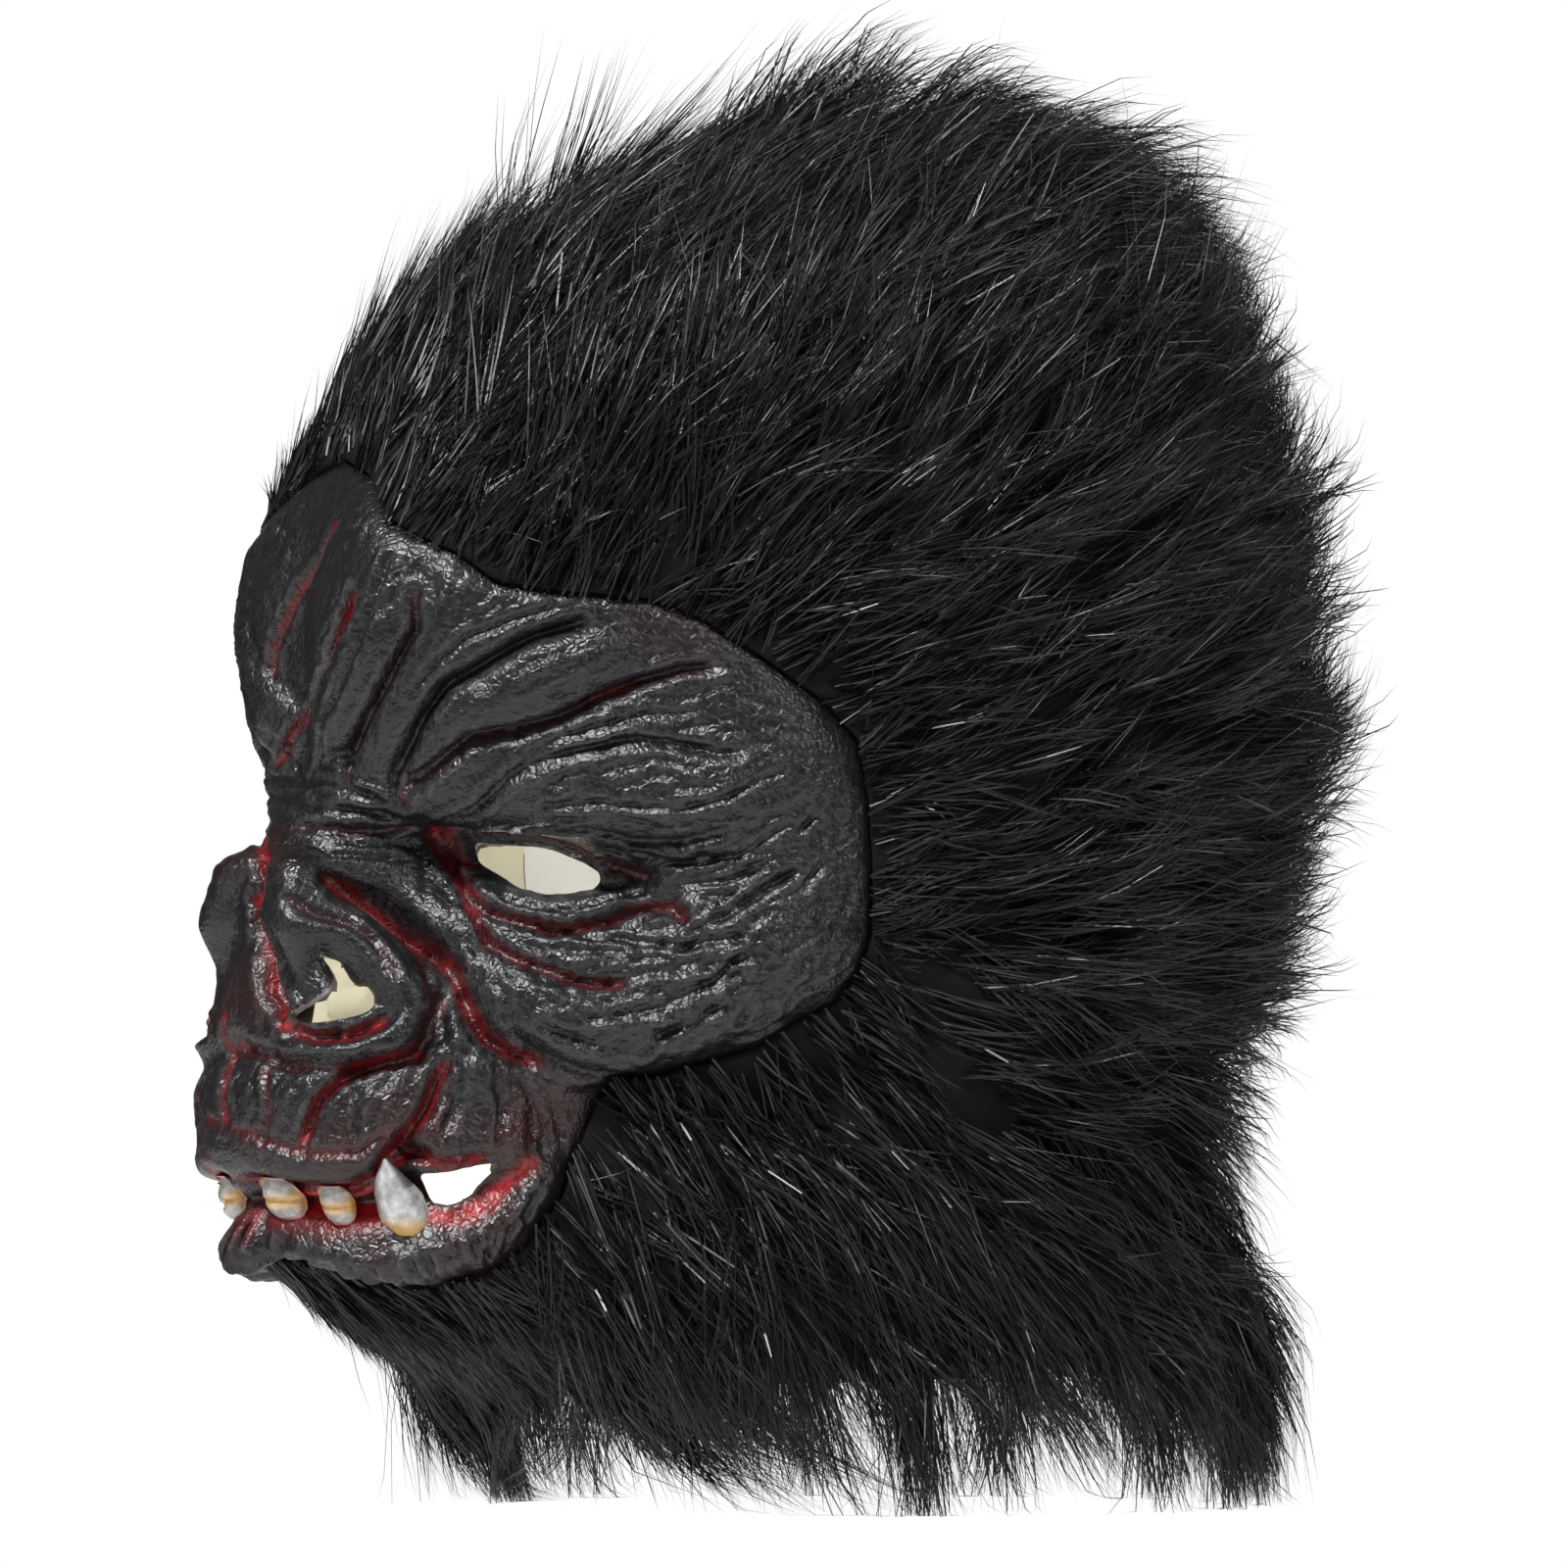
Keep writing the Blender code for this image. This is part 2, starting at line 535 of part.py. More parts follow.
def part_seam(outer, inner, cols, row, first, last, up):
    """Draws one fur's edge back from the seam by half the gap, on both sides of the head."""
    for ks in (range(first, last + 1), range(cols - last, cols - first + 1)):
        ids = [row * cols + k % cols for k in ks]
        mid = (outer[ids] + inner[ids]) / 2
        along = np.gradient(mid, axis=0)
        away = np.cross(along, outer[ids] - inner[ids])
        away /= np.linalg.norm(away, axis=1, keepdims=True)
        away *= np.where(away[:, 2:] > 0, up, -up) * FIT_GAP * 2.9
        for k, i in enumerate(ids):
            if ks[k] % cols == cols // 2 and ks[0] > cols // 2:
                continue
            outer[i] += away[k]
            inner[i] += away[k]


def build_crown(material):
    upper, _ = split_edge()
    low = np.vstack([spread(upper, CROWN_FRONT), spread(SEAM, SEAM_STEPS)[1:]])
    steps = 9
    count = len(low)
    end = np.linspace(0, 180, count)
    s = np.linspace(0, 1, steps + 1)[:-1]
    t = low[:, 0][None, :] + (end - low[:, 0])[None, :] * ease(s)[:, None]
    v = low[:, 1][None, :] * ((1 - s) ** 1.6)[:, None]
    t = np.hstack([t, -t[:, -2:0:-1]])
    v = np.hstack([v, v[:, -2:0:-1]])
    rows, cols = t.shape
    outer = fur_point(t, v).reshape(-1, 3)
    inner = fur_point(t, v, 0.0).reshape(-1, 3)
    part_seam(outer, inner, cols, 0, CROWN_FRONT - 1, count - 1, 1.0)
    quads = []
    for i in range(rows - 1):
        for j in range(cols):
            a, b = i * cols + j, i * cols + (j + 1) % cols
            quads.append([a, b, b + cols, a + cols])
    last = (rows - 1) * cols
    ring_o, ring_i = outer[last:], inner[last:]
    outer = np.vstack([outer, [0.0, ring_o[:, 1].mean(), ring_o[:, 2].mean() + 0.4]])
    inner = np.vstack([inner, [0.0, ring_i[:, 1].mean(), FIT_GAP]])
    tip = len(outer) - 1
    for j in range(cols):
        quads.append([last + j, last + (j + 1) % cols, tip])
    pts, faces = two_sided(outer, inner, quads)
    return add_object("crown_fur", pts, faces, material)


def build_beard(material):
    _, lower = split_edge()
    top = np.vstack([spread(lower[::-1], BEARD_FRONT), spread(SEAM, SEAM_STEPS)[1:]])
    steps = 8
    s = np.linspace(0, 1, steps)
    t = np.repeat(top[:, 0][None, :], steps, axis=0)
    v = top[:, 1][None, :] * (1 - s[:, None]) + HEM * s[:, None]
    t = np.hstack([t, -t[:, -2:0:-1]])
    v = np.hstack([v, v[:, -2:0:-1]])
    rows, cols = t.shape
    outer = fur_point(t, v).reshape(-1, 3)
    inner = fur_point(t, v, 0.0).reshape(-1, 3)
    part_seam(outer, inner, cols, 0, BEARD_FRONT - 1, len(top) - 1, -1.0)
    quads = []
    for i in range(rows - 1):
        for j in range(cols):
            a, b = i * cols + j, i * cols + (j + 1) % cols
            quads.append([a + cols, b + cols, b, a])
    pts, faces = two_sided(outer, inner, quads)
    return add_object("beard_fur", pts, faces, material)


def tooth_form(a, b, name):
    """Share of the full width at height b (-1 foot, +1 tip), and of how far it stands out at (a, b)."""
    if name == "fang":
        width = np.interp(b, [-1, -0.7, -0.3, 0.3, 0.8, 1.0], [0.72, 0.95, 1.0, 0.72, 0.34, 0.16])
        lean = 0.25 * (b - 0.0)
        out = np.interp(b, [-1, -0.5, 0.2, 1.0], [0.75, 1.0, 0.8, 0.45])
    else:
        width = np.interp(b, [-1, -0.6, 0.0, 0.6, 1.0], [0.68, 0.9, 1.0, 0.9, 0.62])
        lean = 0.0 * b
        out = 1.0 - 0.18 * np.exp(-((b + 0.12) / 0.14) ** 2) - 0.35 * np.abs(b) ** 3
    return width, lean, out * np.sqrt(np.maximum(1 - 0.92 * a * a, 0.0))


def build_tooth(row, side, material):
    name, across, level, half, tall, stand = row
    turn0 = on_skin(across, level)
    cols, rows = 6, 7
    a = np.sin(np.linspace(-math.pi / 2, math.pi / 2, cols))
    b = np.linspace(-1, 1, rows)
    A, B = np.meshgrid(a, b)
    width, lean, out = tooth_form(A, B, name)
    centre = head_skin(turn0, level)
    reach = math.hypot(centre[0], centre[1] + 45.0)
    per_degree = max(reach * math.pi / 180.0, 0.5)
    here = head_skin(turn0 + 0.5, level) - head_skin(turn0 - 0.5, level)
    per_degree = max(float(np.linalg.norm(here)), per_degree)
    T = turn0 + (A * width - lean) * half / per_degree
    V = level + B * tall
    low = face_point(T, V, TOOTH_SEAT)
    n = out_way(np.full_like(T, turn0), np.full_like(V, level))
    seat = float(face_rise(np.array([turn0]), np.array([level]))[0]) + TOOTH_SEAT
    skin = head_skin(T, V)
    top = skin + n * np.maximum(face_rise(T, V) + TOOTH_SEAT + 0.9, seat + 0.9 + stand * out)[..., None]
    outer, inner = top.reshape(-1, 3), low.reshape(-1, 3)
    if side < 0:
        outer, inner = outer * [-1, 1, 1], inner * [-1, 1, 1]
    quads = []
    for i in range(rows - 1):
        for j in range(cols - 1):
            k = i * cols + j
            q = [k, k + 1, k + cols + 1, k + cols]
            quads.append(q if side > 0 else q[::-1])
    pts, faces = two_sided(outer, inner, quads)
    return add_object(name + ("_left" if side > 0 else "_right"), pts, faces, material)


def main():
    for obj in list(bpy.data.objects):
        bpy.data.objects.remove(obj, do_unlink=True)
    latex = make_material("latex", (0.045, 0.045, 0.050), 0.42)
    fur = make_material("fur", (0.008, 0.008, 0.009), 0.75)
    enamel = make_material("teeth", (0.60, 0.56, 0.46), 0.35)
    build_face(latex)
    build_crown(fur)
    build_beard(fur)
    for row in TEETH:
        for side in (1, -1):
            build_tooth(row, side, enamel)


main()
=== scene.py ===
"""Looks of the gorilla mask: fine folds and paint on the latex face, painted teeth, and hair over the hood.

Blender units are metres, +Z up. The face looks along -Y and +X is the wearer's left. Lengths in the tables are
millimetres, turns are degrees about the head's spine with 0 at the front and + toward the wearer's left.
"""
import math
import bpy
import numpy as np
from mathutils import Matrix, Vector


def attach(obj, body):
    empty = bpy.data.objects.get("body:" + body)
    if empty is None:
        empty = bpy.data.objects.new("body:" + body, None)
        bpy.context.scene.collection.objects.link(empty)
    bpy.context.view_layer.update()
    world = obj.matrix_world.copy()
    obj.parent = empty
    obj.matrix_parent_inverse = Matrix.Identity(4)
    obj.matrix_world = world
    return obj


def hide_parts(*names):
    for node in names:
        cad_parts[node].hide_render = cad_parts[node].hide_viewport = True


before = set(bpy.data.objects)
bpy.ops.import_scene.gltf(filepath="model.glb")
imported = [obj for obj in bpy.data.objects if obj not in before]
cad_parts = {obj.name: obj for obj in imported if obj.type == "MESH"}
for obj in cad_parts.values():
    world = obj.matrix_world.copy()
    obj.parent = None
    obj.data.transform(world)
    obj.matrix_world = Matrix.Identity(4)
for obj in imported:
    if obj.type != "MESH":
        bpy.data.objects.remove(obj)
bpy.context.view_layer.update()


# ---------------------------------------------------------------- driving sizes, millimetres
LATEX_WALL = 2.2
FIT_GAP = 0.3
VIEW_TURN = math.radians(60.0)   # the side view in which outlines are drawn: from the wearer's left front
HEAD_MID = -20.0                 # y of the head's middle, where that view's "across" is zero

# ---------------------------------------------------------------- the head's skin, one row for each level
# level: height; spine: y of the point the section is turned about; half: half width at y = HEAD_MID; front, back: y at x = 0
HEAD_ROWS = [
    # level  spine  half  front   back
    (0.0,    -8.0,   1.0,   -9.0,  -7.0),
    (-2.5,   -9.0,  20.0,  -29.0,  16.0),
    (-6.0,  -11.0,  32.0,  -45.0,  30.0),
    (-12.0, -14.0,  45.0,  -65.0,  43.0),
    (-22.0, -20.0,  58.0,  -90.0,  54.0),
    (-34.0, -28.0,  67.0, -114.0,  62.0),
    (-49.0, -38.0,  75.0, -133.0,  69.0),
    (-64.0, -45.0,  81.0, -145.0,  75.0),
    (-80.0, -45.0,  85.0, -151.0,  78.0),
    (-99.0, -45.0,  88.0, -156.0,  81.0),
    (-124.0, -45.0, 90.0, -157.0,  83.0),
    (-149.0, -45.0, 90.0, -160.0,  82.0),
    (-169.0, -45.0, 89.0, -166.0,  77.0),
    (-194.0, -45.0, 87.0, -172.0,  70.0),
    (-219.0, -45.0, 86.0, -180.0,  64.0),
    (-239.0, -45.0, 85.0, -176.0,  62.0),
    (-254.0, -45.0, 85.0, -168.0,  65.0),
    (-262.0, -45.0, 85.0, -158.0,  68.0),
    (-268.0, -45.0, 85.0, -144.0,  69.0),
    (-274.0, -45.0, 85.0, -124.0,  69.0),
    (-280.0, -45.0, 85.0, -104.0,  69.0),
    (-285.0, -45.0, 85.0,  -92.0,  69.0),
]

# Face sections, one row for each level: y at the middle, then (x, y) of five stations toward the temple
FACE_ROWS = [
    # level  middle   nose side     inner cheek   cheek          temple        side
    (-64.0,  -145.0, (25, -138), (44, -125), (61, -104), (74, -72), (80, -42)),
    (-74.0,  -150.0, (21, -148), (40, -136), (57, -116), (73, -85), (83, -54)),
    (-89.0,  -154.0, (20, -158), (40, -147), (58, -125), (75, -92), (87, -58)),
    (-109.0, -157.0, (20, -162), (40, -150), (58, -128), (76, -93), (88, -58)),
    (-127.0, -157.0, (18, -161), (38, -149), (57, -126), (76, -92), (89, -57)),
    (-141.0, -156.0, (14, -156), (32, -144), (52, -123), (74, -92), (89, -57)),
    (-152.0, -163.0, (12, -161), (26, -137), (46, -118), (70, -94), (89, -57)),
    (-158.0, -165.0, (12, -162), (24, -134), (43, -117), (67, -97), (89, -57)),
    (-165.0, -167.0, (14, -175), (25, -143), (43, -117), (66, -97), (89, -57)),
    (-177.0, -169.0, (15, -174), (29, -147), (48, -121), (68, -100), (87, -58)),
    (-194.0, -172.0, (26, -167), (38, -144), (54, -122), (70, -98), (84, -60)),
    (-207.0, -175.0, (28, -168), (42, -146), (56, -120), (68, -98), (80, -62)),
    (-219.0, -180.0, (24, -174), (42, -152), (50, -124), (55, -106), (72, -68)),
    (-232.0, -178.5, (24, -171.5), (42, -153), (50, -126), (55, -108), (72, -70)),
    (-244.0, -176.0, (24, -169), (41, -151), (49, -126), (55, -110), (72, -72)),
    (-257.0, -165.0, (22, -159.5), (39, -146), (47, -126), (54, -110), (72, -72)),
    (-264.0, -152.0, (20, -147), (36, -140), (46, -121), (55, -104), (72, -72)),
    (-270.0, -140.0, (20, -136), (34, -126), (46, -112), (58, -95), (74, -68)),
    (-276.0, -118.0, (20, -115), (34, -108), (48, -98), (62, -83), (77, -60)),
    (-285.0,  -92.0, (20, -90), (36, -85), (52, -76), (68, -62), (80, -45)),
]


def slopes(x, y):
    """Slopes of a smooth line through the rows of y that adds no bump of its own."""
    x = np.asarray(x, float)
    y = np.asarray(y, float)
    h = np.diff(x)
    h = h.reshape((-1,) + (1,) * (y.ndim - 1))
    d = np.diff(y, axis=0) / h
    m = np.zeros_like(y)
    a, b = d[:-1], d[1:]
    w1, w2 = 2 * h[1:] + h[:-1], h[1:] + 2 * h[:-1]
    same = a * b > 0
    safe_a, safe_b = np.where(same, a, 1.0), np.where(same, b, 1.0)
    m[1:-1] = np.where(same, (w1 + w2) / (w1 / safe_a + w2 / safe_b), 0.0)
    m[0], m[-1] = d[0], d[-1]
    return m


def smooth(x, y, at):
    """Smooth line through (x, y) read at the places "at"; y may hold several columns."""
    x = np.asarray(x, float)
    y = np.asarray(y, float)
    m = slopes(x, y)
    at = np.clip(np.asarray(at, float), x[0], x[-1])
    k = np.clip(np.searchsorted(x, at, side="right") - 1, 0, len(x) - 2)
    h = x[k + 1] - x[k]
    t = (at - x[k]) / h
    if y.ndim > 1:
        t, h = t[:, None], h[:, None]
    return ((1 + 2 * t) * (1 - t) ** 2 * y[k] + t * (1 - t) ** 2 * h * m[k]
            + t * t * (3 - 2 * t) * y[k + 1] - t * t * (1 - t) * h * m[k + 1])


RING = np.linspace(0.0, 180.0, 181)     # turns about the spine at which a section is read


def head_section(level):
    """Radius about the spine at each turn in RING, from front (0) to back (180)."""
    rows = np.array(HEAD_ROWS[::-1])
    spine, half, front, back = smooth(rows[:, 0], rows[:, 1:], [level])[0]
    turn, reach = [], []
    if level <= -60.0:
        names = FACE_ROWS[::-1]
        cols = np.array([[r[1]] + [c for p in r[2:] for c in p] for r in names], float)
        mid, *rest = smooth([r[0] for r in names], cols, [max(min(level, -64.0), -285.0)])[0]
        pts = [(0.0, mid)] + list(zip(rest[0::2], rest[1::2]))
        wide = HEAD_MID - 6.0
    else:
        wide = HEAD_MID if level < -30 else spine
        fl = wide - front
        pts = [(half * math.sin(a), wide - fl * math.cos(a)) for a in np.radians([0, 18, 36, 52, 66, 78])]
    pts.append((half, wide))
    bl = back - wide
    pts += [(half * math.sin(a) ** 0.92, wide + bl * math.cos(a)) for a in np.radians([72, 54, 36, 18, 0.001])]
    pts = np.array(pts)
    turn = np.degrees(np.arctan2(pts[:, 0], -(pts[:, 1] - spine)))
    reach = np.hypot(pts[:, 0], pts[:, 1] - spine)
    turn[0], turn[-1] = 0.0, 180.0
    full_t = np.concatenate([-turn[1:4][::-1], turn, 360 - turn[-4:-1][::-1]])
    full_r = np.concatenate([reach[1:4][::-1], reach, reach[-4:-1][::-1]])
    return spine, smooth(full_t, full_r, RING)


LEVELS = -np.concatenate([[0, 1.2], np.arange(2.5, 12, 1.5), np.arange(13.0, 285.1, 2.0)])
_made = [head_section(v) for v in LEVELS]
SPINE = np.array([s for s, _ in _made])
REACH = np.array([r for _, r in _made])
for _ in range(5):          # rounds the sections a little
    REACH[:, 1:-1] += 0.5 * (0.5 * (REACH[:, :-2] + REACH[:, 2:]) - REACH[:, 1:-1])
for _ in range(24):         # eases the change from round sections to face sections
    _w = np.clip(1 - np.abs(LEVELS[1:-1] + 63) / 26, 0, 1)[:, None]
    REACH[1:-1] += 0.5 * _w * (0.5 * (REACH[:-2] + REACH[2:]) - REACH[1:-1])


def head_skin(turn, level):
    """Points of the head's skin at turns (degrees, + to the wearer's left) and levels (mm)."""
    turn, level = np.broadcast_arrays(np.asarray(turn, float), np.asarray(level, float))
    shape = turn.shape
    t, v = turn.ravel(), level.ravel()
    side = np.where(t < 0, -1.0, 1.0)
    a = np.clip(np.abs(t), 0, 180)
    i = np.clip(np.searchsorted(-LEVELS, -v, side="right") - 1, 0, len(LEVELS) - 2)
    f = (v - LEVELS[i]) / (LEVELS[i + 1] - LEVELS[i])
    j = np.clip(a.astype(int), 0, 179)
    g = a - j
    r = ((1 - f) * ((1 - g) * REACH[i, j] + g * REACH[i, j + 1])
         + f * ((1 - g) * REACH[i + 1, j] + g * REACH[i + 1, j + 1]))
    s = (1 - f) * SPINE[i] + f * SPINE[i + 1]
    ar = np.radians(a)
    return np.stack([side * r * np.sin(ar), s - r * np.cos(ar), v], axis=-1).reshape(shape + (3,))


def out_way(turn, level, dt=1.0, dv=1.5):
    """Outward unit normal of the head's skin."""
    up = np.minimum(np.asarray(level, float) + dv, -0.05)
    lo = np.maximum(np.asarray(level, float) - dv, -285.0)
    a = head_skin(turn + dt, level) - head_skin(turn - dt, level)
    b = head_skin(turn, up) - head_skin(turn, lo)
    n = np.cross(a, b)
    ln = np.linalg.norm(n, axis=-1, keepdims=True)
    return n / np.maximum(ln, 1e-9)


def in_view(p):
    """Across and level of points as drawn in the side view, and how near they are to the eye."""
    across = p[..., 0] * math.cos(VIEW_TURN) + (p[..., 1] - HEAD_MID) * math.sin(VIEW_TURN)
    near = p[..., 0] * math.sin(VIEW_TURN) - (p[..., 1] - HEAD_MID) * math.cos(VIEW_TURN)
    return across, p[..., 2], near


def on_skin(across, level):
    """Turn at which the view's point (across, level) lies on the near side of the skin."""
    a = np.arange(-20.0, 150.0, 0.5)
    p = head_skin(a, np.full_like(a, level))
    u, _, near = in_view(p)
    s = u - across
    best, best_near = None, -1e9
    for k in np.nonzero(s[:-1] * s[1:] <= 0)[0]:
        f = s[k] / (s[k] - s[k + 1]) if s[k] != s[k + 1] else 0.0
        if near[k] > best_near:
            best, best_near = a[k] + 0.5 * f, near[k]
    if best is None:
        best = a[np.argmin(np.abs(s))]
    return float(best)


# ---------------------------------------------------------------- outlines, in turn (degrees) and level (mm)
LATEX_EDGE = [      # visible edge of the face, from the top of the forehead down the wearer's left to the chin
    (0, -68), (8, -72), (15, -82), (25, -90), (30, -97), (38, -99), (50, -101), (57, -105), (67, -115), (76, -125),
    (82, -135), (83.5, -149), (84, -164), (84.5, -180), (83, -189), (79, -197), (72, -202), (67, -207), (58, -211), (50, -214),
    (43, -215), (40, -220), (38, -230), (36, -241), (31, -254), (27, -260), (19, -265), (12, -263), (7, -259), (0, -257),
]
# Seam between the crown's fur and the beard's fur, from the face's edge to the back
SEAM = [(84.5, -180), (88, -195), (94, -204), (110, -212), (140, -225), (180, -239)]
HEM = -285                  # level of the hood's bottom edge
TUCK = 7.0                  # how far the latex runs on under the fur
TUCK_SINK = 2.2             # and how far it sinks there
EDGE_EASE = 7.0             # width along the edge over which the face's relief fades out

# Openings, corners as (across, level) in the side view
EYE = [(-81, -158), (-73, -159), (-62, -160), (-56, -163), (-50, -166), (-55, -169), (-64, -170), (-70, -168),
       (-76, -164), (-79, -160.5)]
NOSTRIL = [(-116, -184), (-110.5, -185.5), (-109, -188), (-106.5, -191.5), (-103.5, -192), (-101.5, -197), (-107, -199.5),
           (-113.5, -201), (-118.5, -201.5), (-121, -199.5), (-116.5, -195.5), (-113, -193), (-112.5, -189)]
MOUTH_CORNER = [(-92, -236.5), (-86.5, -236.5), (-81, -235.5), (-75, -233.7), (-72.5, -234), (-75.5, -239), (-79, -242.5),
                (-83.5, -244.5), (-88, -245), (-90, -241)]

# Relief of the face: half width and rise (+ out, - in), then the line it follows as (across, level) in the side view
RELIEF = [
    ("brow", 15, 4.5, [(-86, -148), (-70, -149), (-45, -150), (-20, -147), (-4, -142)]),
    ("inner_brow", 9, 1.2, [(-115, -134), (-104, -141), (-92, -147)]),
    ("eye_socket", 11, -5.0, [(-86, -161), (-74, -164), (-60, -167), (-45, -167)]),
    ("cheek_pad", 19, 4.0, [(-66, -192), (-45, -196), (-22, -192), (-6, -180)]),
    ("nostril_rim", 5.5, 4.0, [(-124, -176), (-116, -179.5), (-107, -182), (-99, -189), (-94, -198), (-99, -206),
                               (-111, -208), (-121, -206)]),
    ("nose_middle", 5, 2.5, [(-131, -170), (-130, -183), (-129, -196), (-129, -204)]),
    ("under_nose", 4, -2.5, [(-135, -207), (-122, -211), (-108, -212), (-95, -209), (-90, -202)]),
    ("nose_to_mouth", 4, -4.0, [(-113, -167), (-107, -170), (-100, -175), (-94, -180), (-85, -186), (-82, -194), (-79, -200),
                                (-76, -204), (-66, -210)]),
    ("upper_lip", 6, 1.8, [(-141, -229), (-130, -232), (-119, -235), (-106, -234), (-98, -227), (-88, -230), (-72, -230)]),
    ("gum", 5.5, -5.0, [(-142, -241), (-128, -244), (-113, -245.5), (-100, -244), (-88, -241), (-78, -238)]),
    ("lower_lip", 6, 3.5, [(-137, -250), (-125, -253), (-112, -255.5), (-97, -258), (-83, -255.5), (-71, -246), (-62, -238)]),
    ("forehead_fold_1", 3, -2.2, [(-108, -100), (-110, -106), (-114, -115), (-117, -123), (-121, -132), (-124, -139)]),
    ("forehead_fold_2", 3, -2.2, [(-93, -108), (-97, -115), (-101, -123), (-105, -131), (-108, -138)]),
    ("forehead_fold_3", 3, -2.2, [(-54, -107), (-65, -110), (-79, -119), (-86, -122), (-91, -129), (-97, -142)]),
    ("brow_fold", 3, -2.5, [(-41, -121), (-51, -125), (-60, -130), (-69, -133), (-81, -134), (-92, -142)]),
    ("under_eye_fold", 3, -2.5, [(-77, -174), (-70, -176), (-59, -179), (-48, -176), (-38, -173), (-31, -175)]),
    ("cheek_fold", 3, -2.2, [(-77, -183), (-70, -186), (-62, -189), (-53, -192), (-45, -192)]),
    ("lip_fold_1", 2.5, -2.0, [(-119, -228), (-116, -220), (-112, -215), (-104, -210)]),
    ("lip_fold_2", 2.5, -2.0, [(-86, -212), (-90, -220), (-96, -229)]),
]

# Fur depth for each level: at the front, the side and the back
FUR_DEPTH = [
    (0, 37, 37, 37), (-3, 27, 31, 33), (-12, 15, 24, 27), (-34, 12, 22, 25), (-64, 10, 22, 29), (-99, 9, 23, 31),
    (-149, 9, 26, 30), (-194, 10, 26, 27), (-225, 13, 21, 23), (-240, 14, 18, 22), (-255, 13, 22, 25), (-270, 13, 23, 26),
    (-285, 13, 23, 26),
]
FUR_LIFT = 1.0              # extra room for the face's rim where the fur laps it
FUR_EDGE = 5.0              # fur depth right beside the face
FUR_RISE = 28.0             # distance from the face over which it comes up to its full depth

TOOTH_SEAT = 1.7            # clear room behind a tooth
# Teeth: middle (across, level) in the side view, half width, half height, how far they stand out
TEETH = [
    ("tooth_inner", -127.0, -243.0, 6.5, 5.2, 3.0),
    ("tooth_outer", -113.2, -244.6, 4.4, 4.8, 3.0),
    ("fang", -97.0, -243.0, 6.2, 10.4, 6.0),
]

CROWN_FRONT, BEARD_FRONT, SEAM_STEPS = 16, 21, 13     # stations along each fur's edge
MM_PER_DEGREE = 1.85        # along the face


def turns_of(points):
    """(across, level) corners as (turn, level)."""
    return np.array([(on_skin(a, v), v) for a, v in points])


def flat(tv):
    """Turn and level as a flat sheet in millimetres."""
    tv = np.asarray(tv, float)
    return np.stack([tv[..., 0] * MM_PER_DEGREE, tv[..., 1]], axis=-1)


def to_line(p, line, closed=False):
    """Distance from each point p to a line of corners, and the nearest place on it. Any dimension."""
    line = np.asarray(line, float)
    if closed:
        line = np.vstack([line, line[:1]])
    p = np.asarray(p, float)
    a, b = line[:-1], line[1:]
    ab = b - a
    best = np.full(p.shape[0], 1e18)
    near = np.zeros_like(p)
    for k in range(len(a)):
        t = np.clip(((p - a[k]) @ ab[k]) / max(ab[k] @ ab[k], 1e-12), 0, 1)
        q = a[k] + t[:, None] * ab[k]
        d = np.sum((p - q) ** 2, axis=1)
        hit = d < best
        best[hit] = d[hit]
        near[hit] = q[hit]
    return np.sqrt(best), near


def inside(p, poly):
    """Whether each 2-D point lies inside a closed outline."""
    poly = np.asarray(poly, float)
    res = np.zeros(len(p), bool)
    j = len(poly) - 1
    for i in range(len(poly)):
        xi, yi = poly[i]
        xj, yj = poly[j]
        cross = ((yi > p[:, 1]) != (yj > p[:, 1])) & (p[:, 0] < (xj - xi) * (p[:, 1] - yi) / (yj - yi + 1e-12) + xi)
        res ^= cross
        j = i
    return res


def finer(line, step):
    """The same line with corners no more than step apart."""
    line = np.asarray(line, float)
    out = [line[0]]
    for a, b in zip(line[:-1], line[1:]):
        n = max(1, int(math.ceil(np.linalg.norm(b - a) / step)))
        out += [a + (b - a) * (i + 1) / n for i in range(n)]
    return np.array(out)


EDGE_LEFT = np.array(LATEX_EDGE, float)
EDGE_FULL = np.vstack([EDGE_LEFT, (EDGE_LEFT * [-1, 1])[::-1][1:-1]])
EDGE_FLAT = flat(EDGE_FULL)


def edge_distance(turn, level):
    """Distance to the visible edge of the face, positive inside it."""
    p = flat(np.stack([np.ravel(turn), np.ravel(level)], axis=-1))
    d, _ = to_line(p, EDGE_FLAT, closed=True)
    s = np.where(inside(p, EDGE_FLAT), 1.0, -1.0)
    return (d * s).reshape(np.shape(turn))


def ease(x):
    x = np.clip(x, 0.0, 1.0)
    return x * x * (3 - 2 * x)


def line_on_skin(points, step=4.0):
    tv = turns_of(points)
    return finer(head_skin(tv[:, 0], tv[:, 1]), step)


RELIEF_LINES = [(name, half, rise, line_on_skin(points)) for name, half, rise, points in RELIEF]


def face_rise(turn, level):
    """How far the face stands out of the head's skin."""
    shape = np.shape(turn)
    p = head_skin(turn, level).reshape(-1, 3).copy()
    p[:, 0] = np.abs(p[:, 0])
    rise = np.zeros(len(p))
    for name, half, height, line in RELIEF_LINES:
        d, _ = to_line(p, line)
        rise += height * np.exp(-(d / half) ** 2)
    e = edge_distance(turn, level).reshape(-1)
    return (rise * ease(e / EDGE_EASE) - TUCK_SINK * ease((3.5 - e) / 5.5)).reshape(shape)


def face_point(turn, level, lift=0.0):
    n = out_way(turn, level)
    r = face_rise(turn, level) + lift
    return head_skin(turn, level) + n * r[..., None]


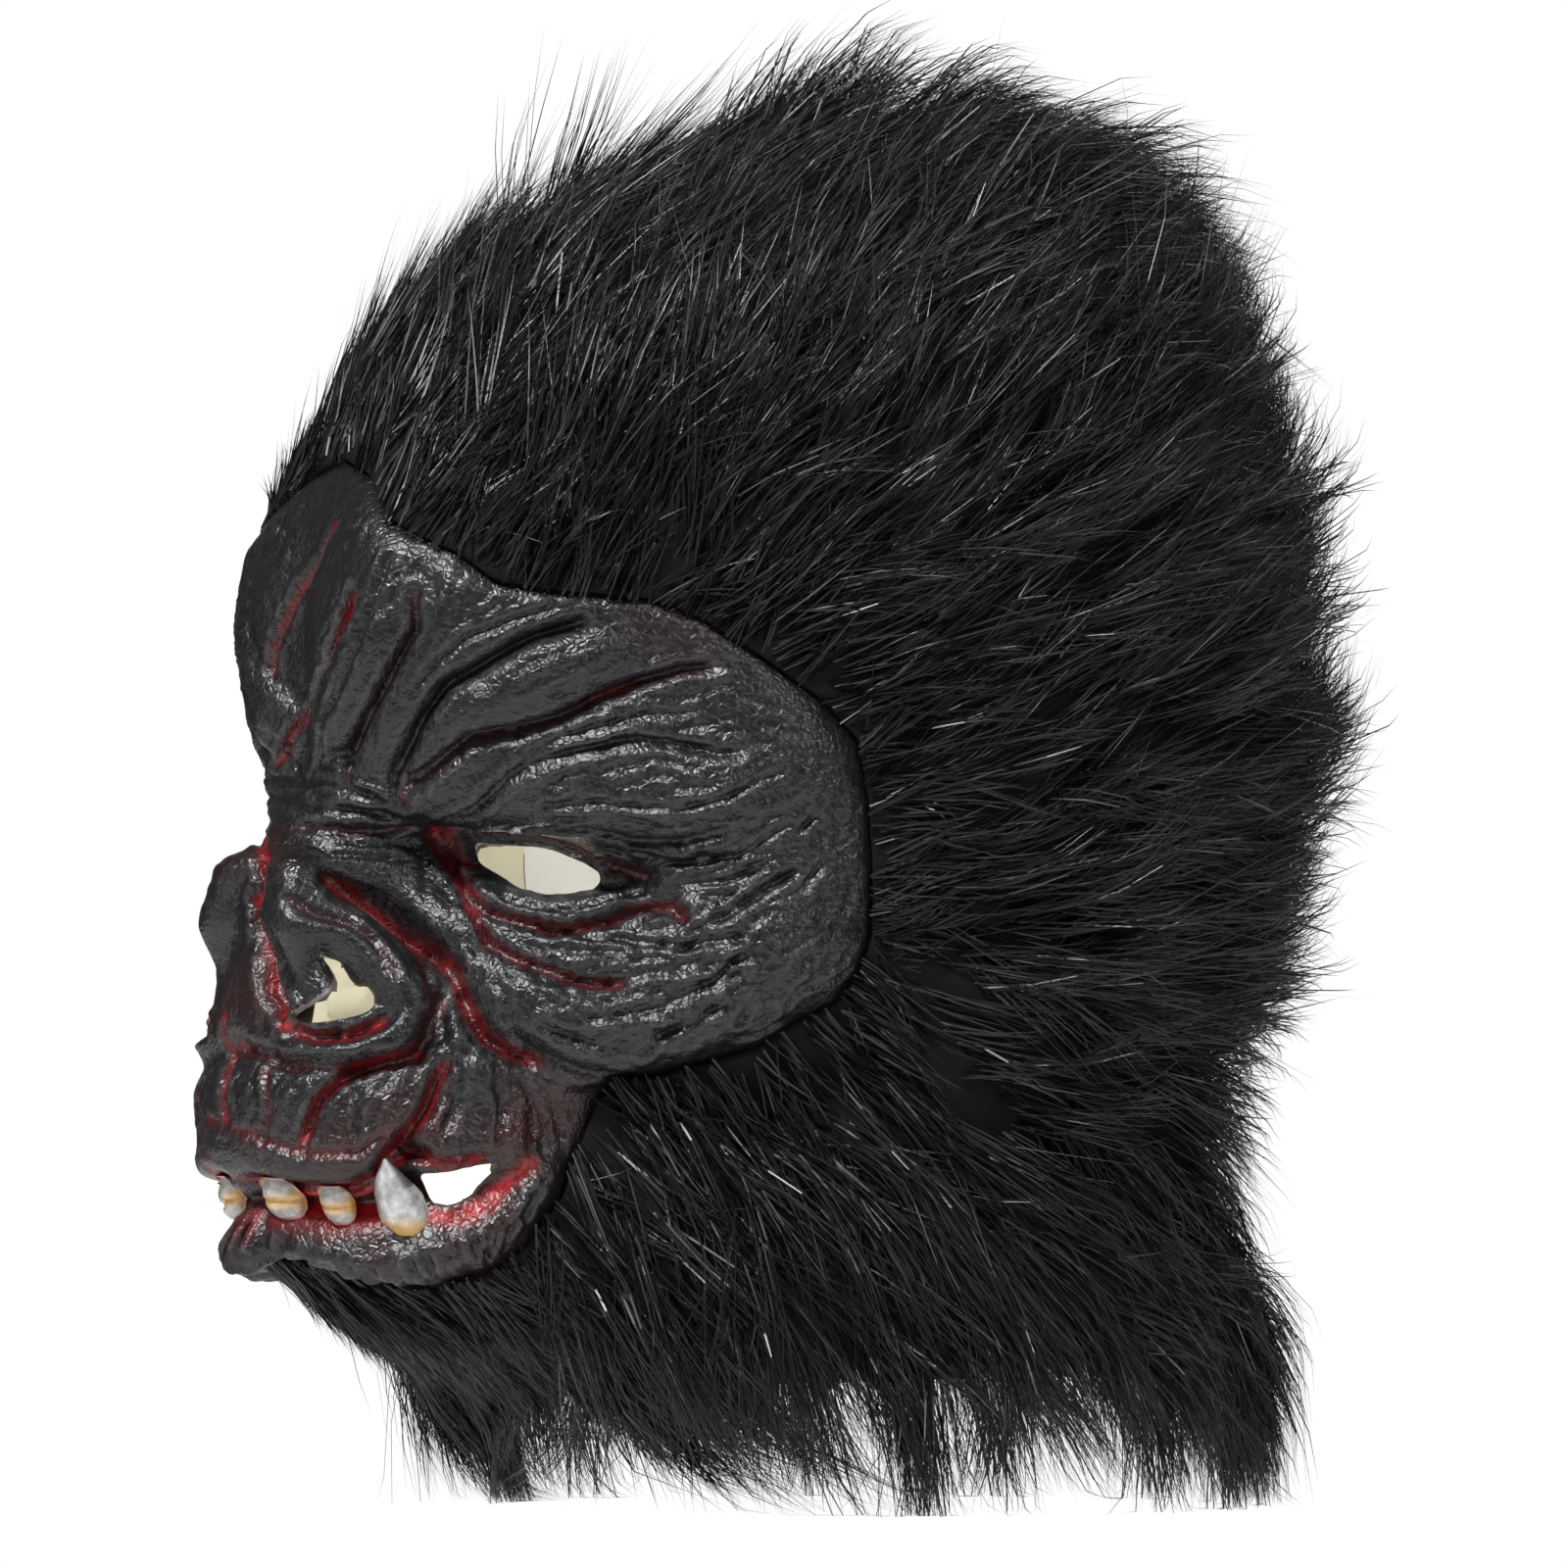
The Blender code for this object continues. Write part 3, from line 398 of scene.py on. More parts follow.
def fur_depth(turn, level):
    rows = np.array(FUR_DEPTH[::-1], float)
    col = smooth(rows[:, 0], rows[:, 1:], np.ravel(level))
    a = np.radians(np.clip(np.abs(np.ravel(turn)), 0, 180))
    f, b = np.clip(np.cos(a), 0, 1) ** 2, np.clip(-np.cos(a), 0, 1) ** 2
    full = col[:, 0] * f + col[:, 2] * b + col[:, 1] * (1 - f - b)
    d = np.maximum(-edge_distance(turn, level).ravel(), 0.0)
    w = ease(d / FUR_RISE) * 0.6 + 0.4 * np.clip(d / FUR_RISE, 0, 1)
    return (FUR_EDGE + (np.maximum(full, FUR_EDGE) - FUR_EDGE) * w).reshape(np.shape(turn))


def spread(line, count):
    """The line at count even steps."""
    p = flat(line)
    s = np.concatenate([[0], np.cumsum(np.linalg.norm(np.diff(p, axis=0), axis=1))])
    at = np.linspace(0, s[-1], count)
    return np.stack([np.interp(at, s, np.asarray(line)[:, k]) for k in (0, 1)], axis=-1)


def split_edge():
    """The face's edge in two: beside the crown's fur and beside the beard's fur."""
    k = int(np.argmin(np.hypot(*(flat(EDGE_LEFT) - flat(np.array([SEAM[0]]))[0]).T)))
    return EDGE_LEFT[:k + 1], EDGE_LEFT[k:]


def tooth_form(a, b, name):
    """Share of the full width at height b (-1 foot, +1 tip), and of how far it stands out at (a, b)."""
    if name == "fang":
        width = np.interp(b, [-1, -0.7, -0.3, 0.3, 0.8, 1.0], [0.72, 0.95, 1.0, 0.72, 0.34, 0.16])
        lean = 0.25 * (b - 0.0)
        out = np.interp(b, [-1, -0.5, 0.2, 1.0], [0.75, 1.0, 0.8, 0.45])
    else:
        width = np.interp(b, [-1, -0.6, 0.0, 0.6, 1.0], [0.68, 0.9, 1.0, 0.9, 0.62])
        lean = 0.0 * b
        out = 1.0 - 0.18 * np.exp(-((b + 0.12) / 0.14) ** 2) - 0.35 * np.abs(b) ** 3
    return width, lean, out * np.sqrt(np.maximum(1 - 0.92 * a * a, 0.0))



# ---------------------------------------------------------------- how fine the picture's own meshes are
FACE_STEP = 0.82      # millimetres between points of the face
TUFTS = 1750          # large tufts of hair; each holds SUB_TUFTS of STRANDS hairs
SUB_TUFTS, STRANDS = 9, 6
rng = np.random.default_rng(7)


# ---------------------------------------------------------------- helpers
def mesh_object(name, verts, faces, smooth=True):
    """A mesh object from arrays in millimetres. faces is an (n, 3) or (n, 4) array, or a list of both."""
    verts = np.asarray(verts, np.float32) * 0.001
    parts = faces if isinstance(faces, list) else [faces]
    parts = [np.asarray(f, np.int32) for f in parts if len(f)]
    mesh = bpy.data.meshes.new(name)
    loops = np.concatenate([f.ravel() for f in parts])
    counts = np.concatenate([np.full(len(f), f.shape[1], np.int32) for f in parts])
    starts = np.concatenate([[0], np.cumsum(counts)[:-1]]).astype(np.int32)
    mesh.vertices.add(len(verts))
    mesh.vertices.foreach_set("co", verts.ravel())
    mesh.loops.add(len(loops))
    mesh.loops.foreach_set("vertex_index", loops)
    mesh.polygons.add(len(counts))
    mesh.polygons.foreach_set("loop_start", starts)
    mesh.polygons.foreach_set("loop_total", counts)
    mesh.update(calc_edges=True)
    mesh.polygons.foreach_set("use_smooth", np.full(len(counts), smooth))
    obj = bpy.data.objects.new(name, mesh)
    bpy.context.scene.collection.objects.link(obj)
    return obj


def point_value(obj, name, values):
    layer = obj.data.attributes.new(name, "FLOAT", "POINT")
    layer.data.foreach_set("value", np.asarray(values, np.float32))


def flat_uv(obj, uv):
    layer = obj.data.uv_layers.new(name="OFBake")
    index = np.empty(len(obj.data.loops), np.int32)
    obj.data.loops.foreach_get("vertex_index", index)
    layer.data.foreach_set("uv", np.asarray(uv, np.float32)[index].ravel())


def hash3(i, j, k, seed):
    n = (i * 73856093) ^ (j * 19349663) ^ (k * 83492791) ^ (seed * 2654435761)
    n = (n ^ (n >> 13)) * 1274126177
    return ((n ^ (n >> 16)) & 0xFFFF) / 65535.0


def noise3(p, size, seed=0):
    """Smooth random value from -1 to 1 at each point, with features about size across."""
    q = np.asarray(p, float) / size
    i = np.floor(q).astype(np.int64)
    f = q - i
    f = f * f * (3 - 2 * f)
    out = 0.0
    for dx in (0, 1):
        for dy in (0, 1):
            for dz in (0, 1):
                w = (np.where(dx, f[..., 0], 1 - f[..., 0]) * np.where(dy, f[..., 1], 1 - f[..., 1])
                     * np.where(dz, f[..., 2], 1 - f[..., 2]))
                out = out + w * hash3(i[..., 0] + dx, i[..., 1] + dy, i[..., 2] + dz, seed)
    return 2 * out - 1


# ---------------------------------------------------------------- materials
def new_material(name):
    mat = bpy.data.materials.new(name)
    mat.use_nodes = True
    tree = mat.node_tree
    return mat, tree, tree.nodes["Principled BSDF"]


def plain_material(name, color, roughness, specular=0.5, sheen=0.0):
    mat, tree, b = new_material(name)
    b.inputs["Base Color"].default_value = (*color, 1)
    b.inputs["Roughness"].default_value = roughness
    b.inputs["Specular IOR Level"].default_value = specular
    return mat


def attribute(tree, name):
    n = tree.nodes.new("ShaderNodeAttribute")
    n.attribute_name = name
    return n.outputs["Fac"]


def noise_node(tree, scale, detail=3.0, rough=0.6):
    co = tree.nodes.new("ShaderNodeTexCoord")
    n = tree.nodes.new("ShaderNodeTexNoise")
    n.inputs["Scale"].default_value = scale
    n.inputs["Detail"].default_value = detail
    n.inputs["Roughness"].default_value = rough
    tree.links.new(co.outputs["Object"], n.inputs["Vector"])
    return n.outputs["Fac"]


def ramp(tree, fac, lo, hi, a=0.0, b=1.0):
    n = tree.nodes.new("ShaderNodeMapRange")
    n.inputs["From Min"].default_value = lo
    n.inputs["From Max"].default_value = hi
    n.inputs["To Min"].default_value = a
    n.inputs["To Max"].default_value = b
    tree.links.new(fac, n.inputs["Value"])
    return n.outputs["Result"]


def math_node(tree, op, a, b):
    n = tree.nodes.new("ShaderNodeMath")
    n.operation = op
    for k, v in enumerate((a, b)):
        if isinstance(v, (int, float)):
            n.inputs[k].default_value = v
        else:
            tree.links.new(v, n.inputs[k])
    return n.outputs["Value"]


def mix_color(tree, fac, a, b):
    n = tree.nodes.new("ShaderNodeMix")
    n.data_type = "RGBA"
    if isinstance(fac, (int, float)):
        n.inputs["Factor"].default_value = fac
    else:
        tree.links.new(fac, n.inputs["Factor"])
    for key, v in (("A", a), ("B", b)):
        sock = [s for s in n.inputs if s.name == key and s.type == "RGBA"][0]
        if isinstance(v, tuple):
            sock.default_value = (*v, 1)
        else:
            tree.links.new(v, sock)
    return [s for s in n.outputs if s.type == "RGBA"][0]


def latex_material():
    mat, tree, b = new_material("latex_skin")
    grain = noise_node(tree, 520, 4.0, 0.65)
    cloud = noise_node(tree, 38, 3.0, 0.6)
    pit = noise_node(tree, 1500, 2.0, 0.6)
    base = mix_color(tree, ramp(tree, cloud, 0.35, 0.7), (0.0042, 0.0042, 0.0052), (0.0085, 0.0083, 0.0095))
    # grey on the ridges: worn paint, and round the lower lip a painted highlight
    base = mix_color(tree, math_node(tree, "MULTIPLY", attribute(tree, "wear_and_highlight"), ramp(tree, grain, 0.40, 0.62)), base,
                     (0.042, 0.042, 0.045))
    base = mix_color(tree, attribute(tree, "maroon"), base, (0.045, 0.005, 0.005))
    red = math_node(tree, "MULTIPLY", attribute(tree, "red"), ramp(tree, grain, 0.20, 0.50, 0.75, 1.0))
    base = mix_color(tree, red, base, (0.460, 0.003, 0.008))
    # painted shade from the "shade" mask: the hollows of the folds and the face's edge under the fur
    base = mix_color(tree, attribute(tree, "shade"), base, (0.006, 0.006, 0.007))
    tree.links.new(base, b.inputs["Base Color"])
    tree.links.new(ramp(tree, grain, 0.3, 0.75, 0.28, 0.42), b.inputs["Roughness"])
    b.inputs["Specular IOR Level"].default_value = 0.55
    bump = tree.nodes.new("ShaderNodeBump")
    bump.inputs["Strength"].default_value = 0.42
    bump.inputs["Distance"].default_value = 0.0006
    co = tree.nodes.new("ShaderNodeTexCoord")
    warp = tree.nodes.new("ShaderNodeVectorMath")
    warp.operation = "ADD"
    wn = tree.nodes.new("ShaderNodeTexNoise")
    wn.inputs["Scale"].default_value = 300
    tree.links.new(co.outputs["Object"], wn.inputs["Vector"])
    ws = tree.nodes.new("ShaderNodeVectorMath")
    ws.operation = "SCALE"
    ws.inputs["Scale"].default_value = 0.0022
    tree.links.new(wn.outputs["Color"], ws.inputs[0])
    tree.links.new(co.outputs["Object"], warp.inputs[0])
    tree.links.new(ws.outputs[0], warp.inputs[1])
    cells = tree.nodes.new("ShaderNodeTexVoronoi")
    cells.feature = "DISTANCE_TO_EDGE"
    cells.inputs["Scale"].default_value = 480
    tree.links.new(warp.outputs[0], cells.inputs["Vector"])
    cell = ramp(tree, cells.outputs["Distance"], 0.0, 0.22, 0.0, 1.0)
    total = math_node(tree, "ADD", math_node(tree, "MULTIPLY", cell, 0.45), math_node(tree, "MULTIPLY", pit, 0.35))
    total = math_node(tree, "ADD", total, math_node(tree, "MULTIPLY", grain, 0.7))
    tree.links.new(total, bump.inputs["Height"])
    tree.links.new(bump.outputs["Normal"], b.inputs["Normal"])
    return mat


def tooth_material():
    mat, tree, b = new_material("tooth_paint")
    streak = noise_node(tree, 420, 3.0, 0.6)
    base = mix_color(tree, ramp(tree, streak, 0.36, 0.66), (0.34, 0.34, 0.35), (0.66, 0.66, 0.64))
    base = mix_color(tree, attribute(tree, "yellow"), base, (0.72, 0.42, 0.12))
    base = mix_color(tree, attribute(tree, "dark"), base, (0.05, 0.04, 0.04))
    base = mix_color(tree, attribute(tree, "red"), base, (0.36, 0.008, 0.012))
    tree.links.new(base, b.inputs["Base Color"])
    b.inputs["Roughness"].default_value = 0.30
    b.inputs["Coat Weight"].default_value = 0.25
    b.inputs["Coat Roughness"].default_value = 0.2
    bump = tree.nodes.new("ShaderNodeBump")
    bump.inputs["Strength"].default_value = 0.4
    bump.inputs["Distance"].default_value = 0.0005
    tree.links.new(streak, bump.inputs["Height"])
    tree.links.new(bump.outputs["Normal"], b.inputs["Normal"])
    return mat


# ---------------------------------------------------------------- the face's fine relief
# Folds: half width, rise (+ out, - in), share of red paint in them, then their line as (across, level) in the side view
FOLDS = [
    ("forehead_1", 1.5, -2.2, 1.00, [(-108, -100), (-110, -106), (-114, -115), (-117, -123), (-121, -132), (-124, -140)]),
    ("forehead_0", 1.5, -1.6, 0.55, [(-112, -84), (-115, -90), (-120, -99), (-126, -111), (-128, -118)]),
    ("forehead_2", 1.4, -2.0, 0.10, [(-93, -100), (-93, -108), (-97, -115), (-101, -123), (-105, -131), (-108, -138), (-108, -144)]),
    ("forehead_2b", 1.2, -1.3, 0.00, [(-99, -92), (-102, -102), (-106, -112), (-111, -124), (-114, -136), (-117, -143)]),
    ("forehead_3", 1.5, -2.2, 0.00, [(-54, -107), (-65, -110), (-71, -113), (-79, -118), (-86, -122), (-91, -129), (-94, -136),
                                    (-97, -142), (-98, -147)]),
    ("forehead_3b", 1.1, -1.2, 0.00, [(-60, -103), (-70, -106), (-80, -110), (-88, -116), (-93, -123)]),
    ("brow_1", 1.5, -2.4, 0.10, [(-22, -117), (-31, -118), (-41, -121), (-51, -125), (-60, -130), (-69, -132.5), (-80, -134),
                                 (-86, -138), (-93, -142), (-96, -146)]),
    ("brow_1_red", 0.7, -0.4, 0.80, [(-41, -121), (-47, -123.5), (-51, -125)]),
    ("brow_2", 1.3, -1.8, 0.00, [(-17, -137), (-22, -137), (-32, -135), (-41, -134), (-53, -136), (-62, -138), (-70, -141),
                                 (-77, -146), (-87, -150)]),
    ("brow_2b", 1.1, -1.2, 0.00, [(-28, -128), (-38, -128), (-50, -131), (-60, -134), (-68, -138)]),
    ("brow_3", 1.2, -1.6, 0.00, [(-67, -153), (-59, -152.5), (-50, -154), (-42, -157), (-31, -158), (-20, -156)]),
    ("brow_4", 1.1, -1.2, 0.00, [(-60, -146), (-50, -146), (-40, -148), (-30, -149), (-18, -146), (-8, -141)]),
    ("lid_top", 1.3, -1.8, 0.25, [(-88, -154), (-84, -156), (-78, -156.5), (-70, -156), (-62, -157), (-55, -160), (-48, -164),
                                  (-40, -166)]),
    ("crow_foot_1", 1.1, -1.3, 0.00, [(-22, -177), (-15, -173), (-9, -169), (-3, -165)]),
    ("crow_foot_2", 1.0, -1.0, 0.00, [(-34, -163), (-24, -163), (-14, -160), (-5, -154)]),
    ("crow_foot_3", 1.0, -1.0, 0.00, [(-30, -169), (-20, -168), (-10, -164)]),
    ("eye_corner", 1.5, -2.4, 1.00, [(-89, -156), (-87, -159), (-84.5, -163), (-81, -169), (-79.5, -175)]),
    ("eye_corner_2", 1.0, -1.0, 0.70, [(-86, -157), (-83, -160), (-80, -163)]),
    ("under_eye_1", 1.4, -2.2, 0.55, [(-80, -170), (-77, -174), (-70, -176.5), (-59, -179.5), (-48, -177), (-40, -173), (-33, -173),
                                      (-30, -176)]),
    ("under_eye_2", 1.3, -1.9, 0.50, [(-79, -176), (-76, -182), (-70, -186), (-62, -189), (-53, -192), (-45, -192)]),
    ("under_eye_3", 1.1, -1.3, 0.00, [(-72, -172), (-64, -174), (-56, -174.5), (-47, -171), (-40, -169)]),
    ("cheek_1", 1.1, -1.2, 0.00, [(-46, -181), (-38, -182), (-30, -183), (-22, -181)]),
    ("cheek_2", 1.1, -1.2, 0.00, [(-54, -199), (-44, -199), (-34, -196), (-24, -191), (-16, -185)]),
    ("cheek_3", 1.2, -1.4, 0.00, [(-62, -202), (-52, -205), (-42, -205), (-31, -201), (-21, -196)]),
    ("cheek_rim", 1.6, -2.0, 0.00, [(-70, -204), (-61, -209), (-52, -211.5), (-43, -212)]),
    ("nose_to_mouth", 2.0, -3.2, 0.90, [(-113, -167), (-107, -170), (-100, -175), (-94, -180), (-88, -184), (-84, -188)]),
    ("nose_to_mouth_2", 1.8, -2.6, 0.85, [(-84, -188), (-82, -194), (-79, -200), (-76.5, -204), (-70, -208), (-65, -210)]),
    ("muzzle_red_1", 1.4, -2.0, 0.95, [(-119, -228), (-118, -224), (-116, -219), (-112, -215), (-107, -211.5), (-99, -209.5),
                                       (-92, -208)]),
    ("muzzle_red_2", 1.5, -2.1, 1.00, [(-86, -211), (-88, -215), (-90, -221), (-94, -226), (-99, -231), (-101, -235)]),
    ("muzzle_3", 1.1, -1.4, 0.05, [(-74, -211), (-74, -216), (-73, -221), (-74, -228)]),
    ("muzzle_4", 1.0, -1.1, 0.00, [(-108, -214), (-106, -220), (-107, -228)]),
    ("muzzle_5", 1.0, -1.1, 0.00, [(-80, -206), (-82, -212), (-83, -220), (-87, -228)]),
    ("muzzle_6", 1.0, -1.1, 0.30, [(-128, -212), (-127, -220), (-128, -229)]),
    ("muzzle_7", 0.9, -0.9, 0.00, [(-68, -213), (-66, -220), (-66, -228)]),
    ("philtrum", 1.5, -1.8, 0.80, [(-135.5, -200), (-137, -206), (-137.5, -214), (-137, -224)]),
    ("bridge_1", 1.2, -1.5, 0.00, [(-126, -144), (-118, -145), (-109, -146), (-101, -147)]),
    ("bridge_2", 1.2, -1.5, 0.00, [(-127, -149), (-118, -150.5), (-109, -151), (-98, -151)]),
    ("bridge_3", 1.2, -1.5, 0.15, [(-128, -154), (-119, -155), (-110, -156), (-100, -156), (-93, -154)]),
    ("bridge_4", 1.1, -1.2, 0.00, [(-122, -159), (-113, -161), (-104, -162), (-96, -162)]),
    ("nose_top", 2.2, -1.6, 1.00, [(-130, -158), (-128, -164), (-128, -171)]),
    ("septum_near", 2.0, -3.2, 1.00, [(-129.5, -172), (-129, -179), (-127, -186), (-126, -193), (-122.5, -199)]),
    ("nostril_under", 1.6, -1.8, 1.00, [(-122, -202), (-115, -204.5), (-108, -204), (-101, -201)]),
    ("nose_base", 1.6, -1.8, 0.25, [(-135, -206), (-122, -211), (-108, -212), (-97, -210), (-90, -204), (-87, -196)]),
    ("ala_crease", 1.5, -1.8, 0.10, [(-112, -171), (-104, -174), (-96, -180), (-91, -188), (-89, -197), (-92, -205)]),
    ("ala_top", 1.3, -1.2, 0.10, [(-122, -172), (-117, -176), (-109, -179), (-103, -184), (-99, -191)]),
    ("lip_top_line", 1.2, -1.2, 0.35, [(-141, -224), (-130, -227), (-119, -231), (-106, -231), (-99, -226)]),
    ("lip_edge", 1.6, -1.5, 0.90, [(-141, -236), (-131, -239), (-119, -240.5), (-107, -240), (-100, -236.5), (-94, -231.5),
                                   (-86, -234.5), (-78, -233)]),
    ("corner_red", 2.6, -0.6, 0.95, [(-92, -246.5), (-84, -247), (-77, -244), (-71, -238), (-67, -234)]),
    ("gum_red", 3.6, -0.8, 1.00, [(-142, -243), (-128, -246.5), (-113, -248.5), (-102, -247.5), (-93, -246)]),
    ("gum_red_top", 2.2, -0.4, 1.00, [(-142, -238.5), (-128, -241.5), (-113, -242.5), (-104, -241)]),
]

# Softer forms on top of the part's own relief: half width, rise, line
FORMS = [
    ("ala_top", 5.0, 1.6, [(-120, -168), (-113, -171), (-106, -176)]),
    ("ala_side", 4.0, 1.2, [(-104, -178), (-98, -186), (-94, -194)]),
    ("ala_outer_crease", 2.0, -3.4, [(-102, -170), (-95, -176), (-89, -184), (-86, -193), (-87, -203), (-92, -209)]),
    ("centre_channel", 2.2, -2.0, [(-129, -164), (-129.5, -172), (-129.5, -184)]),
    ("nostril_bulb", 3.2, 1.2, [(-122, -180), (-120, -188), (-120, -196), (-123, -202)]),
    ("nostril_hollow", 3.0, -4.4, [(-114, -186), (-109.5, -190), (-107, -196)]),
    ("wing_trim", 5.0, -2.4, [(-127, -174), (-126, -180)]),
    ("middle_lobe", 4.0, 1.4, [(-133, -192), (-132, -200)]),
    ("under_nostril", 2.0, -2.8, [(-122, -204), (-115, -205), (-106, -203.5), (-99, -200)]),
    ("under_rim", 3.0, 0.2, [(-124, -208.5), (-113, -209.5), (-102, -207), (-95, -202)]),
    ("lip_lower_roll", 4.2, 1.2, [(-112, -256.5), (-97, -259), (-83, -256.5), (-72, -248), (-62, -240)]),
    ("lip_lower_edge", 2.0, 1.2, [(-120, -252), (-112, -253), (-99, -255), (-88, -252)]),
    ("gum_deep", 3.6, -3.2, [(-142, -242), (-128, -245), (-113, -246.5), (-100, -244.5), (-90, -242)]),
    ("fang_recess", 5.0, -5.0, [(-98, -240), (-96, -233), (-95, -231)]),
    ("lip_edge_cut", 1.8, -2.8, [(-142, -236.0), (-130, -238), (-119, -240), (-108, -240.5), (-102, -235), (-97, -230), (-91, -232)]),
    ("brow_roll", 10.0, 3.0, [(-90, -144), (-76, -148), (-58, -150.5), (-40, -150), (-22, -147)]),
    ("lid_under", 3.6, -3.2, [(-88, -156), (-76, -160.5), (-62, -162.5), (-50, -166.5), (-40, -167)]),
    ("eye_bag", 4.5, 2.6, [(-76, -170.5), (-68, -173), (-58, -175), (-46, -172)]),
    ("cheek_roll", 10.0, 2.4, [(-60, -199), (-48, -203), (-34, -203), (-20, -197), (-8, -186)]),
    ("bridge_dip", 6.0, -1.0, [(-127, -152), (-112, -154), (-99, -156)]),
    ("forehead_roll_1", 4.5, 1.5, [(-101, -92), (-104, -104), (-109, -118), (-113, -132)]),
    ("forehead_roll_2", 4.5, 1.4, [(-84, -98), (-90, -108), (-95, -120), (-101, -134)]),
    ("forehead_roll_3", 5.5, 1.6, [(-48, -114), (-62, -118), (-76, -126), (-88, -138)]),
    ("corner_pad", 6.0, 2.0, [(-78, -214), (-72, -222), (-70, -229)]),
]

# Short wrinkles follow this way across the face: place in the side view, way in degrees (0 across, 90 up), how thick they lie
WRINKLE_WAY = [
    (-122, -95, 78, 0.5), (-124, -130, 80, 0.6), (-100, -90, 70, 0.5), (-100, -120, 66, 0.8), (-80, -105, 42, 0.7),
    (-82, -130, 50, 0.7), (-60, -112, 22, 0.6), (-60, -132, 22, 0.9), (-35, -112, 12, 0.4), (-35, -130, 8, 0.8),
    (-12, -125, -25, 0.5), (-60, -150, 0, 0.9), (-35, -152, -8, 1.0), (-10, -148, 40, 0.8), (0, -140, -60, 0.4),
    (-10, -170, 32, 0.9), (2, -175, 70, 0.7), (-115, -150, -4, 1.0), (-100, -156, 0, 1.0), (-92, -165, -55, 0.9),
    (-72, -173, -22, 1.0), (-50, -172, 2, 1.2), (-30, -178, 20, 1.3), (-12, -190, 38, 1.2), (-60, -185, -12, 1.1),
    (-45, -196, 10, 1.3), (-25, -200, 26, 1.2), (-60, -205, -20, 1.0), (-120, -170, 50, 0.3), (-104, -180, -40, 0.5),
    (-95, -215, 62, 0.9), (-112, -222, 80, 0.8), (-130, -220, 86, 0.7), (-76, -218, 92, 1.0), (-66, -222, 105, 0.9),
    (-85, -178, -50, 0.8), (-74, -196, -55, 0.8),
]
WRINKLES = 900

# Fine upright creases round the lower lip: places along it
LIP_LINE = [(-138, -251), (-130, -253), (-122, -255), (-112, -257), (-103, -259), (-93, -259), (-84, -257), (-76, -252), (-69, -246),
            (-64, -240)]

MAROON = [((-62, -222), 9, 0.85), ((-70, -229), 8, 0.8), ((-96, -222), 8, 0.55), ((-110, -232), 9, 0.5), ((-128, -196), 7, 0.5),
          ((-135, -190), 6, 0.7), ((-128, -232), 9, 0.35), ((-28, -107), 12, 0.22), ((-40, -104), 8, 0.2), ((-86, -226), 8, 0.6),
          ((-75, -250), 7, 0.7), ((-84, -254), 8, 0.5), ((-100, -254), 7, 0.3), ((-128, -160), 6, 0.5), ((-136, -204), 7, 0.5)]


def strokes():
    """Short wrinkles over the face, each a line of points on the near side's skin, with its half width and rise."""
    rows = np.array(WRINKLE_WAY, float)
    out = []
    tries = 0
    while len(out) < WRINKLES and tries < WRINKLES * 12:
        tries += 1
        turn = rng.uniform(3, 84)
        level = rng.uniform(-236, -70)
        if edge_distance(np.array([turn]), np.array([level]))[0] < 4:
            continue
        p = head_skin(np.array([turn]), np.array([level]))[0]
        across, lev, _ = in_view(p)
        d = np.hypot(rows[:, 0] - across, rows[:, 1] - lev)
        w = 1 / (d + 3) ** 4
        w /= w.sum()
        way2 = np.array([np.sum(w * np.cos(np.radians(rows[:, 2] * 2))), np.sum(w * np.sin(np.radians(rows[:, 2] * 2)))])
        way = 0.5 * math.degrees(math.atan2(way2[1], way2[0])) + rng.normal(0, 13)
        if rng.uniform() > np.sum(w * rows[:, 3]):
            continue
        rough = float(np.sum(w * rows[:, 3]))
        length = rng.uniform(4, 13)
        bend = rng.normal(0, 18)
        pts = []
        a, v = turn, level
        n = 5
        for k in range(n):
            pts.append((a, v))
            ang = math.radians(way + bend * (k / n - 0.5))
            q = head_skin(np.array([a, a + 0.5]), np.array([v, v]))
            across_per_deg = (in_view(q[1])[0] - in_view(q[0])[0]) / 0.5
            across_per_deg = max(abs(across_per_deg), 0.45)
            a = max(a + math.cos(ang) * length / n / max(across_per_deg, 0.9), 2.0)
            v += math.sin(ang) * length / n
        pts = np.array(pts)
        out.append((head_skin(pts[:, 0], pts[:, 1]), rng.uniform(0.45, 0.9), -rng.uniform(0.25, 0.6) * (0.35 + 0.95 * rough ** 2)))
    return out


def add_lines(p, rise, lines):
    """Adds each line's groove to the rise of the points near it; a slight swelling runs along both its sides."""
    for line, half, height in lines:
        lo, hi = line.min(0) - 4 * half, line.max(0) + 4 * half
        near = np.nonzero(np.all((p > lo) & (p < hi), axis=1))[0]
        if not len(near):
            continue
        d, _ = to_line(p[near], line)
        seg = np.linalg.norm(p[near] - line[0], axis=1), np.linalg.norm(p[near] - line[-1], axis=1)
        fade = ease(np.minimum(*seg) / (3.0 * half))
        fade = 0.35 + 0.65 * fade
        rise[near] += height * fade * (np.exp(-(d / half) ** 1.35) - 0.34 * np.exp(-((d - 2.5 * half) / (1.4 * half)) ** 2))


